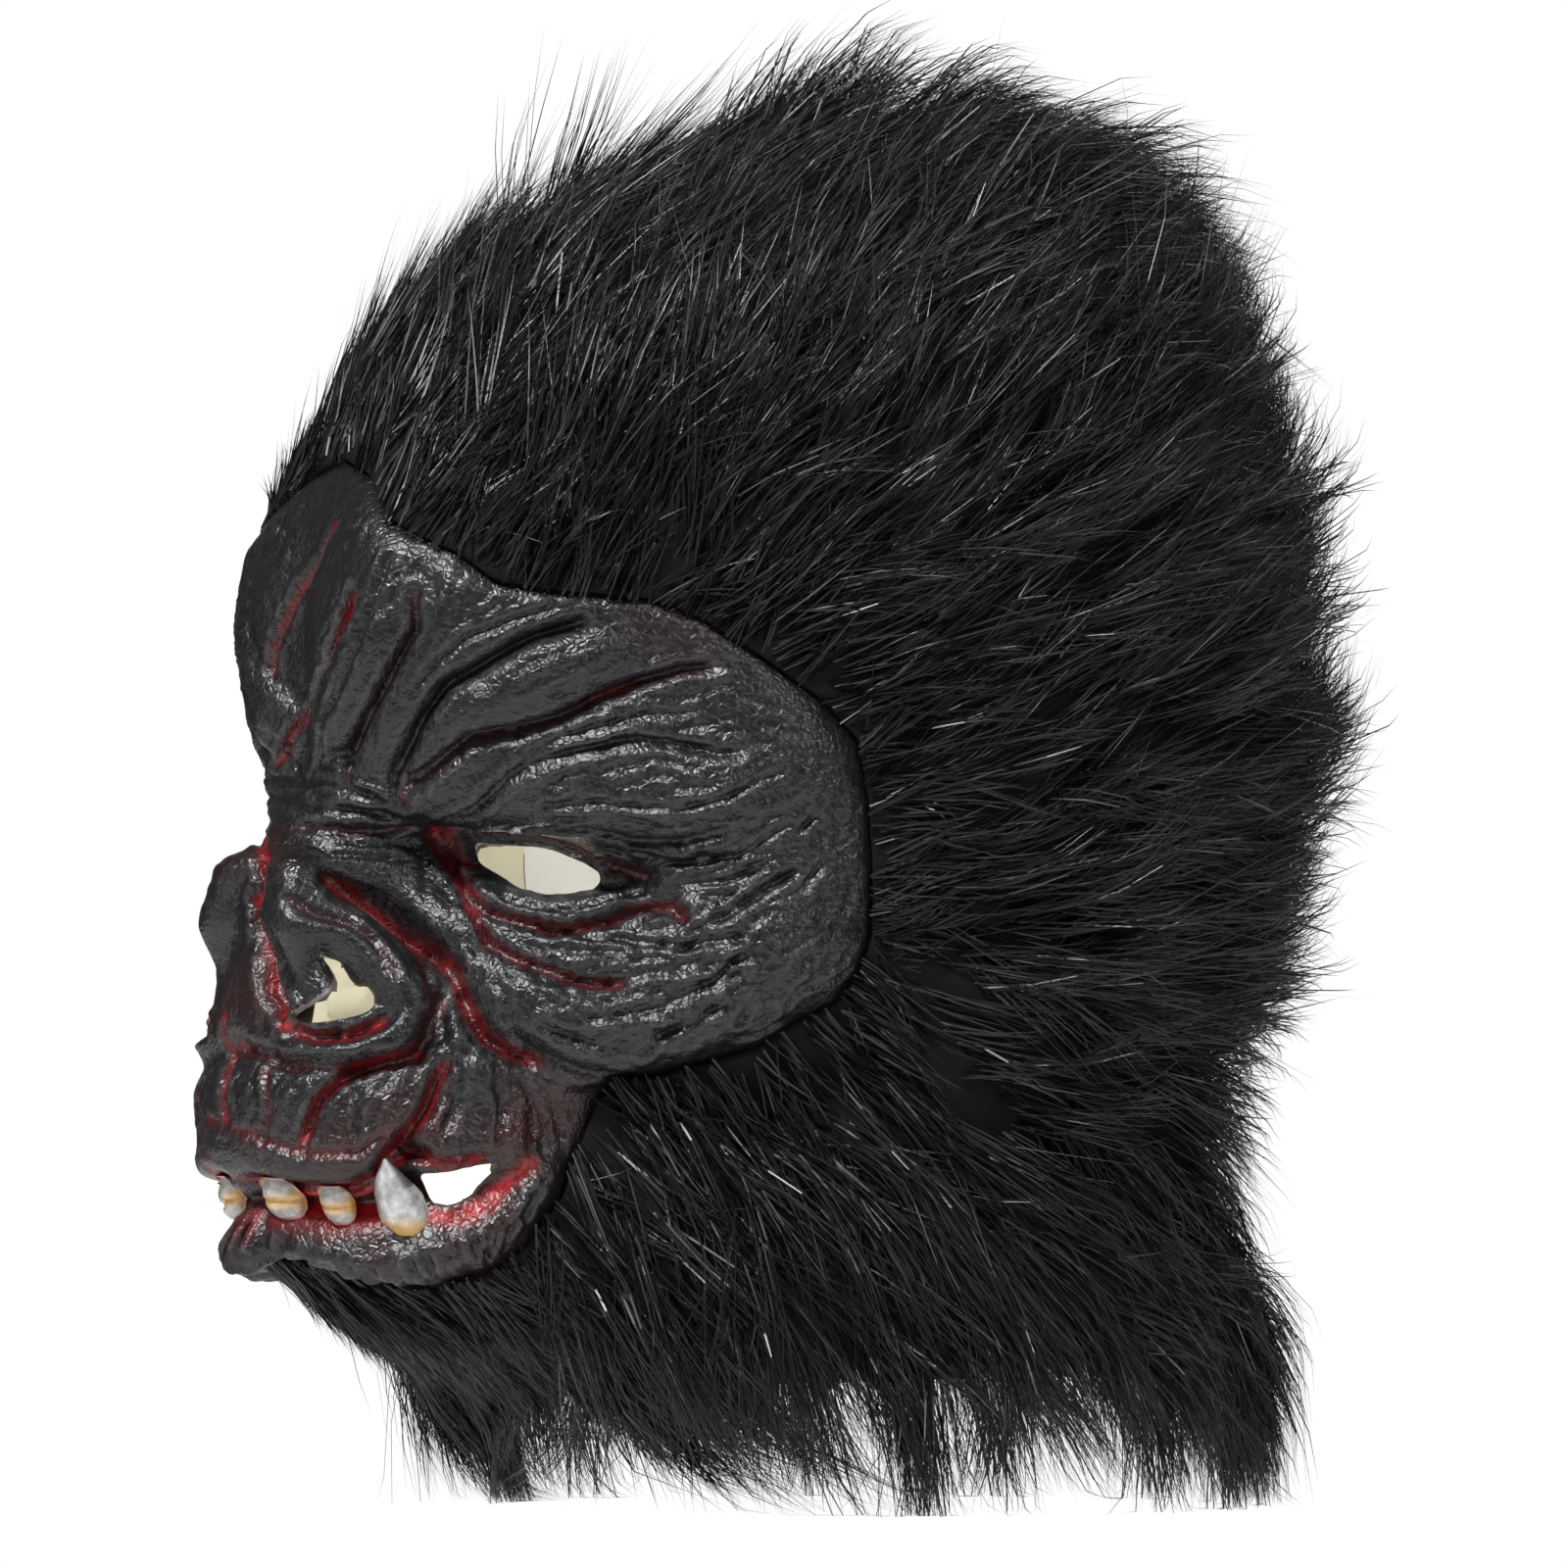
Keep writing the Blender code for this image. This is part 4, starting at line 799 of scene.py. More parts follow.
def build_face_skin():
    # grid: even steps along each level's section
    span = np.linspace(0, 91, 183)
    levels = [-59.0]
    while levels[-1] > -276:
        v = levels[-1]
        a = head_skin(np.array([6.0]), np.array([v]))[0]
        b = head_skin(np.array([6.0]), np.array([v - 0.5]))[0]
        rate = np.linalg.norm(b - a) / 0.5
        levels.append(v - FACE_STEP / max(min(rate, 3.5), 1.0) * (1.0 if v > -250 else 0.9))
    levels = np.array(levels)
    count = int(150 / FACE_STEP)
    T = np.zeros((len(levels), count))
    for i, v in enumerate(levels):
        p = head_skin(span, np.full_like(span, v))
        s = np.concatenate([[0], np.cumsum(np.linalg.norm(np.diff(p, axis=0), axis=1))])
        T[i] = np.interp(np.linspace(0, s[-1], count), s, span)
    for _ in range(3):
        T[1:-1] = (T[:-2] + 2 * T[1:-1] + T[2:]) / 4
    T[:, 0] = 0.0
    V = np.repeat(levels[:, None], count, axis=1)
    rows, cols = T.shape
    mid_t = (T[:-1, :-1] + T[1:, 1:]) / 2
    mid_v = (V[:-1, :-1] + V[1:, 1:]) / 2
    d = edge_distance(mid_t, mid_v)
    keep = d > -TUCK
    holes = [flat(turns_of(c)) for c in (EYE, NOSTRIL, MOUTH_CORNER)]
    soft = []
    for h in holes:
        c = np.vstack([h, h[:1]])
        for _ in range(2):
            c = np.vstack([c[:-1] * 0.75 + c[1:] * 0.25, c[:-1] * 0.25 + c[1:] * 0.75]).reshape(2, -1, 2).transpose(1, 0, 2).reshape(-1, 2)
            c = np.vstack([c, c[:1]])
        soft.append(c[:-1])
    holes = soft
    fm = flat(np.stack([mid_t, mid_v], axis=-1)).reshape(-1, 2)
    for h in holes:
        keep &= ~inside(fm, h).reshape(keep.shape)
    near = np.zeros((rows, cols), int)
    for di in (0, 1):
        for dj in (0, 1):
            near[di:rows - 1 + di, dj:cols - 1 + dj] += keep
    fp = flat(np.stack([T, V], axis=-1)).reshape(-1, 2)
    full = near.reshape(-1)
    rim = (full > 0) & (full < 4) & (np.arange(rows * cols) % cols > 0)
    p = fp[rim]
    best, best_q = np.full(len(p), 1e9), p.copy()
    for h in holes:
        dd, q = to_line(p, h, closed=True)
        hit = dd < best
        best[hit], best_q[hit] = dd[hit], q[hit]
    close = best < 1.8 * FACE_STEP
    p[close] = best_q[close]
    fp[rim] = p
    t, v = fp[:, 0] / MM_PER_DEGREE, fp[:, 1]
    used = full > 0
    remap = np.cumsum(used) - 1
    i, j = np.nonzero(keep)
    a = i * cols + j
    quads = remap[np.stack([a + cols, a + cols + 1, a + 1, a], axis=1)]
    t, v = t[used], v[used]
    s_uv = np.stack([np.tile(np.linspace(0, 1, cols), rows), np.repeat(np.linspace(1, 0, rows), cols)], axis=1)[used]

    skin = head_skin(t, v)
    rise = face_rise(t, v)
    edge = edge_distance(t, v)
    window = ease(edge / 5.0)
    across, level, _ = in_view(skin)
    n = out_way(t, v)
    forms = np.zeros(len(t))
    for _, half, height, line in FORMS:
        line = line_on_skin(line, 2.5)
        line[:, 0] = np.maximum(line[:, 0], 0.0)
        d, _ = to_line(skin, line)
        forms += height * np.exp(-(d / half) ** 2)
    for level_at, half, height in ((-251.5, 6.0, 2.6),):        # the lower lip runs across the middle
        q = head_skin(np.array([0.0]), np.array([level_at]))[0]
        forms += height * np.exp(-(np.linalg.norm(skin - q, axis=1) / half) ** 2)
    forms *= ease(edge / 6.0)
    lumps = 0.34 * noise3(skin, 9.0, 3) + 0.18 * noise3(skin, 4.2, 4) + 0.14 * noise3(skin, 2.1, 5)
    crumple = np.abs(noise3(skin * [1.0, 1.0, 1.6], 3.4, 8))
    cheeky = np.exp(-(((across + 35) / 40) ** 2 + ((level + 190) / 24) ** 2))
    lumps = lumps + cheeky * (-1.0 * (0.35 - crumple).clip(0) * 2.4)
    calm = np.exp(-(((across + 118) / 22) ** 2 + ((level + 188) / 18) ** 2)) + np.exp(-((level + 250) / 14) ** 2)
    lumps *= 1 - 0.8 * np.clip(calm, 0, 1)
    folds = [(line_on_skin(line, 2.5), half * 0.72, height * 1.05, share) for _, half, height, share, line in FOLDS]
    lip = np.array([(on_skin(x, z), z) for x, z in LIP_LINE])
    lip = finer(np.stack([lip[:, 0] * 1.2, lip[:, 1]], axis=1), 0.5) / [1.2, 1.0]
    lip_skin = head_skin(lip[:, 0], lip[:, 1])
    along = np.concatenate([[0], np.cumsum(np.linalg.norm(np.diff(lip_skin, axis=0), axis=1))])

    halves = []
    for way in (1, -1):
        fine = np.zeros(len(t))
        lines = [(line * [way, 1, 1] if line[:, 0].min() < -0.3 else line, half, height, share) for line, half, height, share in folds]
        add_lines(skin, fine, [row[:3] for row in lines])
        add_lines(skin, fine, [(line, half * 3.0, height * 0.28) for line, half, height, _ in lines])
        add_lines(skin, fine, strokes())
        ticks, at = [], 3.0
        while at < along[-1] - 1:
            x, z = np.interp(at, along, lip[:, 0]), np.interp(at, along, lip[:, 1])
            reach = rng.uniform(2.4, 4.6)
            lean = rng.normal(0, 0.5)
            zs = np.clip(z + np.array([-1.15, -0.5, 0.1, 0.9]) * reach, -284, -200)
            xs = np.maximum(x + lean * np.array([-1, -0.4, 0.1, 0.8]), 1.2)
            ticks.append((head_skin(xs, zs), rng.uniform(0.5, 0.9), -rng.uniform(1.0, 2.2)))
            at += rng.uniform(1.3, 2.7)
        add_lines(skin, fine, ticks)
        fine = fine + lumps * 0.8
        total = rise + forms + fine * window

        # paint: red in the folds, worn grey on the ridges with a painted highlight round the lower lip, painted shade
        # in the hollows and a painted shadow along the face's edge under the fur
        red = np.zeros(len(t))
        for line, half, height, share in lines:
            if share > 0:
                d, _ = to_line(skin, line)
                red = np.maximum(red, share * np.exp(-(d / (half * 0.75 + 0.25)) ** 2))
        red *= 0.78 + 0.35 * noise3(skin, 3.0, 11)
        maroon = np.zeros(len(t))
        for (a, lv), size, amount in MAROON:
            maroon = np.maximum(maroon, amount * np.exp(-(np.hypot(across - a, level - lv) / size) ** 2))
        maroon *= 0.8 + 0.5 * noise3(skin, 5.0, 12)
        grid = np.zeros(rows * cols)
        grid[used] = fine
        g = grid.reshape(rows, cols)
        blur = g.copy()
        for _ in range(5):
            blur[1:-1, 1:-1] = (blur[1:-1, 1:-1] * 2 + blur[:-2, 1:-1] + blur[2:, 1:-1] + blur[1:-1, :-2] + blur[1:-1, 2:]) / 6
        high = (g - blur).reshape(-1)[used]
        wear_and_highlight = np.clip(0.08 + high * 2.0, 0, 1) * window
        lip_d, _ = to_line(skin, lip_skin[::4])
        # round the lower lip the lip is lightened, most on its ridges: painted highlight
        wear_and_highlight = np.maximum(wear_and_highlight, (0.45 + 1.1 * high.clip(-0.4, 0.6)) * np.exp(-(lip_d / 4.0) ** 2) * (across < -88))
        # painted shade: darker in the hollows of the fine relief, and a painted shadow of the fur along the face's edge
        shade = np.clip(-high * 1.6 - 0.15, 0, 0.75) + np.clip((3.0 - edge) / 6.0, 0, 0.9)
        halves.append((skin + n * total[:, None], total, red, wear_and_highlight, maroon, np.clip(shade, 0, 1)))

    # both halves share the points on the middle line
    count = len(t)
    middle = np.nonzero(s_uv[:, 0] == 0)[0]
    side = np.ones(count, bool)
    side[middle] = False
    right_id = np.arange(count)
    right_id[side] = count + np.arange(side.sum())
    pts = halves[0][0]
    pts[middle, 0] = 0.0
    total = np.minimum(halves[0][1], halves[1][1])
    all_pts = np.vstack([pts, halves[1][0][side] * [-1, 1, 1]])
    all_quads = np.vstack([quads, right_id[quads][:, ::-1]])
    obj = mesh_object("face_skin", all_pts, all_quads)
    for k, name in ((2, "red"), (3, "wear_and_highlight"), (4, "maroon"), (5, "shade")):
        point_value(obj, name, np.clip(np.concatenate([halves[0][k], halves[1][k][side]]), 0, 1))
    uv = s_uv * [0.49, 0.98] + [0.50, 0.01]
    flat_uv(obj, np.vstack([uv, (uv * [-1, 1] + [1.0, 0])[side]]))
    obj.data.materials.append(latex_material())
    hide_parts("latex_face")
    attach(obj, "root")

    # the wall's thickness at the holes, and the pale inside
    edges = {}
    for q in quads.tolist():
        for x, y in zip(q, q[1:] + q[:1]):
            edges[(x, y)] = True
    rim_edges = [(x, y) for (x, y) in edges if (y, x) not in edges and edge[x] > 3 and t[x] > 0.01 and t[y] > 0.01]
    rim_ids = sorted({k for e in rim_edges for k in e})
    new = {k: m for m, k in enumerate(rim_ids)}
    m = len(rim_ids)
    walls = np.array([[new[y], new[x], new[x] + m, new[y] + m] for x, y in rim_edges])
    ring_pts = [np.vstack([h[0][rim_ids], h[0][rim_ids] - n[rim_ids] * LATEX_WALL]) for h in halves]
    wall = mesh_object("face_hole_edges", np.vstack([ring_pts[0], ring_pts[1] * [-1, 1, 1]]),
                       np.vstack([walls, (walls + 2 * m)[:, ::-1]]))
    wall.data.materials.append(plain_material("latex_cut", (0.045, 0.020, 0.018), 0.5))
    step = 3
    sel_r, sel_c = np.arange(0, rows, step), np.arange(0, cols, step)
    in_pts = np.full((rows * cols, 3), np.nan)
    deep = np.full(rows * cols, 99.0)
    deep[used] = total
    deep = deep.reshape(rows, cols)
    low = deep.copy()
    for axis in (0, 1):
        run = low.copy()
        for k in range(1, 7):
            for way in (k, -k):
                run = np.minimum(run, np.roll(low, way, axis))
        low = run
    in_pts[used] = skin + n * (low.reshape(-1)[used] - LATEX_WALL)[:, None]
    g3 = in_pts.reshape(rows, cols, 3)[np.ix_(sel_r, sel_c)]
    ok = np.isfinite(g3[..., 0])
    hole_keep = keep
    r2, c2 = g3.shape[:2]
    quads2 = []
    for a in range(r2 - 1):
        for b in range(c2 - 1):
            if ok[a, b] and ok[a + 1, b] and ok[a, b + 1] and ok[a + 1, b + 1]:
                block = hole_keep[sel_r[a]:sel_r[a + 1], sel_c[b]:sel_c[b + 1]]
                if block.all():
                    k = a * c2 + b
                    quads2.append([k, k + 1, k + c2 + 1, k + c2])
    quads2 = np.array(quads2)
    flat3 = np.nan_to_num(g3.reshape(-1, 3))
    ids = np.unique(quads2)
    back = np.zeros(len(flat3), int)
    back[ids] = np.arange(len(ids))
    q2 = back[quads2]
    lining = mesh_object("face_inside", np.vstack([flat3[ids], flat3[ids] * [-1, 1, 1]]),
                         np.vstack([q2, (q2 + len(ids))[:, ::-1]]))
    lining.data.materials.append(plain_material("latex_inside", (0.56, 0.52, 0.38), 0.6))
    for o in (wall, lining):
        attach(o, "root")
    return obj


# ---------------------------------------------------------------- teeth
def build_teeth():
    mat = tooth_material()
    for row in TEETH:
        name, across, level, half, tall, stand = row
        turn0 = on_skin(across, level)
        cols, rows = 33, 41
        a = np.sin(np.linspace(-math.pi / 2, math.pi / 2, cols))
        b = np.linspace(-1, 1, rows)
        A, B = np.meshgrid(a, b)
        width, lean, out = tooth_form(A, B, name)
        if name == "fang":
            width = np.interp(B, [-1, -0.8, -0.4, 0.1, 0.55, 0.85, 1.0], [0.55, 0.88, 1.02, 0.90, 0.55, 0.24, 0.06])
        here = head_skin(np.array([turn0 + 0.5]), np.array([level])) - head_skin(np.array([turn0 - 0.5]), np.array([level]))
        centre = head_skin(turn0, level)
        per_degree = max(float(np.linalg.norm(here)), math.hypot(centre[0], centre[1] + 45.0) * math.pi / 180.0)
        T = turn0 + (A * width - lean) * half / per_degree
        V = level + B * tall
        n = out_way(np.full_like(T, turn0), np.full_like(V, level))
        skin = head_skin(T, V)
        seat = float(face_rise(np.array([turn0]), np.array([level]))[0])
        ends = ease((1 - np.abs(A)) / 0.12) * ease((1 - np.abs(B)) / 0.16)
        rough = 0.16 * noise3(skin * [2.0, 2.0, 0.5], 1.4, 21) + 0.10 * noise3(skin, 0.9, 22)
        seat -= 2.6
        lift = seat + 1.4 + (stand + 1.6) * out + rough
        if name == "fang":
            lift += 3.4 * ease((B + 0.1) / 0.8)
        lift = face_rise(T, V) - 0.6 + (lift - (face_rise(T, V) - 0.6)) * (0.12 + 0.88 * ends)
        pts = (skin + n * lift[..., None]).reshape(-1, 3)
        k = (np.arange(rows - 1)[:, None] * cols + np.arange(cols - 1)[None, :]).ravel()
        quads = np.stack([k, k + 1, k + cols + 1, k + cols], axis=1)
        if name == "fang":
            yellow = np.clip((-B - 0.30) / 0.35, 0, 1) * np.clip(1.25 - np.abs(A) * 0.4, 0, 1)
            dark = 0.35 * np.clip((np.abs(A) - 0.55) / 0.45, 0, 1) * (B > -0.5) + 0.6 * np.clip((A - 0.35) / 0.4, 0, 1) * (B > 0.35)
            red = np.clip((-B - 0.86) / 0.14, 0, 1)
        else:
            yellow = np.exp(-((B + 0.10) / 0.30) ** 2) * 0.95 + 0.5 * np.clip((np.abs(A) - 0.6) / 0.4, 0, 1)
            dark = 0.30 * np.exp(-((B + 0.12) / 0.06) ** 2)
            red = np.clip((np.abs(B) - 0.80) / 0.20, 0, 1) * 0.9 + np.clip((np.abs(A) - 0.85) / 0.15, 0, 1) * 0.6
        for side in (1, -1):
            q = quads if side > 0 else quads[:, ::-1]
            label = name + ("_left" if side > 0 else "_right")
            obj = mesh_object(label + "_paint", pts * [side, 1, 1], q)
            point_value(obj, "yellow", np.clip(yellow, 0, 1).ravel())
            point_value(obj, "dark", np.clip(dark, 0, 1).ravel())
            point_value(obj, "red", np.clip(red, 0, 1).ravel())
            flat_uv(obj, np.stack([(A * 0.48 + 0.5).ravel(), (B * 0.48 + 0.5).ravel()], axis=1))
            obj.data.materials.append(mat)
            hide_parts(label)
            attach(obj, "root")


# ---------------------------------------------------------------- the hood
# Lie of the hair: place (turn, level), then the way it runs (side, back, up)
CROWN_LIE = [
    (0, -68, 0.0, 0.35, 0.95), (15, -80, 0.10, 0.45, 0.85), (27, -92, 0.20, 0.50, 0.75), (45, -98, 0.20, 0.45, 0.80),
    (62, -108, 0.20, 0.60, 0.65), (78, -128, 0.25, 0.80, 0.40), (85, -160, 0.30, 0.90, 0.15), (90, -198, 0.25, 0.95, -0.10),
    (0, -40, 0.0, 0.60, 0.75), (30, -50, 0.10, 0.55, 0.75), (60, -55, 0.10, 0.30, 0.90), (80, -80, 0.15, 0.40, 0.85),
    (0, -12, 0.0, 0.85, 0.50), (60, -15, 0.10, 0.70, 0.60), (100, -20, 0.15, 0.70, 0.65), (150, -15, 0.10, 0.85, 0.45),
    (180, -12, 0.0, 0.90, 0.40), (110, -60, 0.20, 0.65, 0.60), (140, -60, 0.20, 0.70, 0.45), (180, -60, 0.0, 0.70, 0.50),
    (100, -110, 0.25, 0.80, 0.40), (130, -120, 0.25, 0.80, 0.30), (180, -120, 0.0, 0.75, 0.35),
    (105, -160, 0.30, 0.90, 0.20), (140, -170, 0.25, 0.90, 0.12), (180, -170, 0.0, 0.85, 0.15),
    (110, -205, 0.20, 0.95, -0.10), (140, -215, 0.20, 0.90, -0.15), (180, -230, 0.0, 0.80, -0.35),
]
BEARD_LIE = [
    (0, -262, 0.0, 0.80, -0.50), (12, -268, 0.05, 0.80, -0.50), (27, -266, 0.10, 0.75, -0.60), (36, -248, 0.20, 0.60, -0.75),
    (42, -222, 0.20, 0.60, -0.75), (60, -216, 0.15, 0.60, -0.80), (80, -206, 0.20, 0.80, -0.55), (92, -210, 0.20, 0.90, -0.35),
    (60, -245, 0.10, 0.50, -0.85), (85, -240, 0.10, 0.62, -0.75), (110, -230, 0.15, 0.75, -0.55), (140, -235, 0.20, 0.75, -0.50),
    (180, -245, 0.0, 0.55, -0.80), (85, -270, 0.08, 0.40, -0.92), (120, -265, 0.10, 0.55, -0.80), (160, -265, 0.10, 0.55, -0.80),
    (180, -280, 0.0, 0.35, -0.95), (30, -282, 0.05, 0.30, -0.95), (0, -283, 0.0, 0.35, -0.95), (60, -284, 0.10, 0.22, -1.0),
    (100, -284, 0.10, 0.30, -1.0), (140, -284, 0.12, 0.35, -1.0),
]


def seam_at(turn):
    s = np.array(SEAM, float)
    return np.interp(np.abs(turn), s[:, 0], s[:, 1])


def lie_of(turn, level, rows):
    rows = np.array(rows, float)
    a = np.abs(turn)
    d2 = ((a[:, None] - rows[:, 0]) * 1.6) ** 2 + (level[:, None] - rows[:, 1]) ** 2
    w = 1 / (d2 + 40) ** 1.8
    w /= w.sum(1, keepdims=True)
    v = w @ rows[:, 2:]
    v[:, 0] *= np.sign(turn) + (turn == 0)
    return v / np.linalg.norm(v, axis=1, keepdims=True)


def fur_roots(count, crown):
    """Random roots over one piece of the hood, evenly by area, on both sides of the head."""
    tt = np.arange(0.5, 180, 1.0)
    vv = -np.concatenate([np.arange(0.3, 12, 0.6), np.arange(12.5, 285, 1.5)])
    TT, VV = np.meshgrid(tt, vv)
    dv = np.gradient(vv)[:, None] * np.ones_like(TT)
    p = head_skin(TT, VV)
    e1 = head_skin(TT + 0.5, VV) - head_skin(TT - 0.5, VV)
    e2 = head_skin(TT, np.minimum(VV + 0.3, -0.01)) - head_skin(TT, np.maximum(VV - 0.3, -285))
    area = np.linalg.norm(np.cross(e1, e2), axis=-1) / 0.6 * np.abs(dv)
    seam = seam_at(TT)
    edge = edge_distance(TT, VV)
    above = VV > seam
    mine = above if crown else ~above
    mine &= ~((TT < SEAM[0][0]) & (VV < -150)) if crown else ~((TT < SEAM[0][0]) & (VV > -150))
    weight = area * mine * (edge < 0.3)
    weight *= 1.0 + 3.2 * np.exp(-np.maximum(-edge, 0) / 7.0)
    w = weight.ravel()
    total = w.sum()
    pick = rng.choice(len(w), size=count, p=w / total)
    turn = TT.ravel()[pick] + rng.uniform(-0.5, 0.5, count)
    level = VV.ravel()[pick] + rng.uniform(-0.5, 0.5, count) * np.abs(dv.ravel()[pick])
    turn *= rng.choice([-1.0, 1.0], count)
    return turn, np.clip(level, -285, -0.1), total


def on_ways(turn, level):
    """Point, outward normal and one way along the skin, the step across one degree of turn, for offsets on it."""
    p = head_skin(turn, level)
    n = out_way(turn, level, 6.0, 8.0)
    e1 = head_skin(turn + 0.5, level) - head_skin(turn - 0.5, level)
    return p, n, e1


HEAD_ROUND = 150.0          # hairs bend with a curve of this radius


def flat_front(turn, level):
    """The hair lies flat on the middle of the forehead."""
    a, v = np.abs(turn), np.asarray(level, float)
    return 1 - 0.72 * (1 - ease((a - 14) / 26)) * ease((-42 - v) / 18)



def hair(name, crown, tufts, share_of, seed):
    """Joined hairs of one piece of the hood, in tufts within tufts. Each hair is a narrow tapering strip."""
    turn, level, _ = fur_roots(tufts, crown)
    p, n, _ = on_ways(turn, level)
    flow = lie_of(turn, level, CROWN_LIE if crown else BEARD_LIE)
    depth = fur_depth(turn, level)
    edge = np.maximum(-edge_distance(turn, level), 0)
    size = len(turn)

    # tuft level
    tang = flow - n * np.sum(flow * n, axis=1, keepdims=True)
    tl = np.linalg.norm(tang, axis=1, keepdims=True)
    tang = tang / np.maximum(tl, 1e-6)
    side = np.cross(n, tang)
    grow = 0.50 + 0.50 * ease(edge / 24.0)
    length = (52.0 if crown else 50.0) * grow * rng.uniform(0.75, 1.25, size)
    hem = np.clip((level + 285) / 30.0, 0, 1) if not crown else np.ones(size)
    length *= 0.72 + 0.28 * hem
    swing = rng.normal(0, 0.22, size)
    tang = tang * np.cos(swing)[:, None] + side * np.sin(swing)[:, None]
    lift = depth * rng.uniform(0.70, 1.12, size)
    droop = rng.normal(0, 0.10, size)

    reps1 = np.repeat(np.arange(size), SUB_TUFTS)
    m = len(reps1)
    spread1 = 4.2 * (0.6 + 0.4 * grow[reps1])
    off1 = rng.normal(0, 1, (m, 2)) * spread1[:, None]
    s1 = rng.normal(0, 0.12, m)
    len1 = rng.uniform(0.75, 1.15, m)
    lift1 = rng.uniform(0.75, 1.15, m)

    reps2 = np.repeat(np.arange(m), STRANDS)
    c = len(reps2)
    off2 = rng.normal(0, 1, (c, 2)) * 1.3
    g = reps1[reps2]
    N, Tn = n[g], tang[g]
    S = np.cross(N, Tn)
    stray = rng.uniform(0, 1, c) < 0.07
    wob = rng.normal(0, 0.07, c) + s1[reps2] + stray * rng.normal(0, 0.30, c)
    Tn = Tn * np.cos(wob)[:, None] + S * np.sin(wob)[:, None]
    S = np.cross(N, Tn)
    off = off1[reps2] + off2
    root = p[g] + tang[g] * off[:, :1] + np.cross(N, tang[g]) * off[:, 1:]
    # settle the root back on the skin
    axis_y = np.interp(root[:, 2], np.array(HEAD_ROWS)[::-1, 0], np.array(HEAD_ROWS)[::-1, 1])
    lv = np.clip(root[:, 2], -285, -0.1)
    tn = np.degrees(np.arctan2(root[:, 0], -(root[:, 1] - axis_y)))
    near_top = lv > -14
    fixed = head_skin(tn, lv)
    root = np.where(near_top[:, None], root, fixed)
    ed = edge_distance(tn, lv)
    seam = seam_at(tn)
    ok = (ed < 1.6) | near_top
    if crown:
        ok &= (lv > seam - 3)
    else:
        ok &= (lv < seam + 3)
    L = length[g] * len1[reps2] * rng.uniform(0.8, 1.1, c) * (1 + stray * 0.12)
    H = lift[g] * lift1[reps2] * rng.uniform(0.8, 1.1, c)
    local = (FUR_EDGE * 0.5 + 0.6 * np.maximum(-ed, 0))
    H = np.minimum(H, np.maximum(local * 1.6, 3.0))
    L = np.minimum(L, 17 + 1.6 * np.maximum(-ed, 0) + rng.uniform(0, 9, c))
    H = np.minimum(H, 0.85 * L) * flat_front(tn, lv)
    run = np.sqrt(np.maximum(L * L - H * H, 1.0))
    clump1 = 0.78 + 0.20 * rng.uniform(0, 1, size)
    back1 = -(tang[g] * off1[reps2][:, :1] + np.cross(N, tang[g]) * off1[reps2][:, 1:]) * clump1[g][:, None]
    back2 = -(tang[g] * off2[:, :1] + np.cross(N, tang[g]) * off2[:, 1:]) * 0.75
    back1[stray] *= 0.2
    back2[stray] *= 0.1
    bendy = rng.normal(0, 1.2, (c, 3)) + (rng.normal(0, 1.6, (m, 3)))[reps2]
    steps = np.array([0.0, 0.22, 0.5, 0.78, 1.0])
    path = []
    down = np.array([0, 0, -1.0])
    sag = (droop[g] + (0.02 if crown else 0.10)) * L
    for s in steps:
        rise_at = H * (1 - (1 - s) ** 1.7) if crown else H * (1 - (1 - s) ** 2.2)
        q = (root + N * (0.6 + rise_at)[:, None] + Tn * (run * s)[:, None] + back1 * s ** 1.3 + back2 * s ** 1.1
             + bendy * (s * s) + down * (sag * s * s)[:, None] - N * np.minimum((run * s) ** 2 / (2 * HEAD_ROUND), 0.42 * H)[:, None])
        path.append(q)
    path = np.stack(path, axis=1)
    # keep every hair outside the head's skin
    for k in range(1, 5):
        q = path[:, k]
        z = np.clip(q[:, 2], -285, -14.0)
        mid_y = np.interp(z, np.array(HEAD_ROWS)[::-1, 0], np.array(HEAD_ROWS)[::-1, 1])
        ang = np.degrees(np.arctan2(q[:, 0], -(q[:, 1] - mid_y)))
        wall_at = head_skin(ang, z)
        own = np.hypot(q[:, 0], q[:, 1] - mid_y)
        need = np.hypot(wall_at[:, 0], wall_at[:, 1] - mid_y) + 1.2
        grow_by = np.where((own < need) & (q[:, 2] < -14), need / np.maximum(own, 1), 1.0)
        path[:, k, 0] = q[:, 0] * grow_by
        path[:, k, 1] = mid_y + (q[:, 1] - mid_y) * grow_by
    path[..., 2] = np.maximum(path[..., 2], -317.0)
    path[..., 2] = np.where(path[..., 2] > 34, 34 + (path[..., 2] - 34) * 0.62, path[..., 2])
    half = np.where(stray, 0.13, rng.uniform(0.16, 0.30, c))
    taper = np.array([1.0, 1.0, 0.82, 0.5])
    way = rng.normal(0, 1, (c, 3))
    d = path[:, 2] - path[:, 0]
    wv = np.cross(d, way)
    wv /= np.maximum(np.linalg.norm(wv, axis=1, keepdims=True), 1e-6)
    left = path[:, :4] - wv[:, None] * (half[:, None] * taper)[..., None]
    right = path[:, :4] + wv[:, None] * (half[:, None] * taper)[..., None]
    verts = np.concatenate([left, right, path[:, 4:5]], axis=1)[ok]     # nine points a hair
    c = len(verts)
    verts = verts.reshape(-1, 3)
    base = (np.arange(c) * 9)[:, None]
    quads = np.concatenate([base + np.array([[k, k + 4, k + 5, k + 1]]) for k in range(3)], axis=0)
    tris = base + np.array([[3, 7, 8]])
    shade = rng.uniform(0, 1, c)
    return verts, c, shade


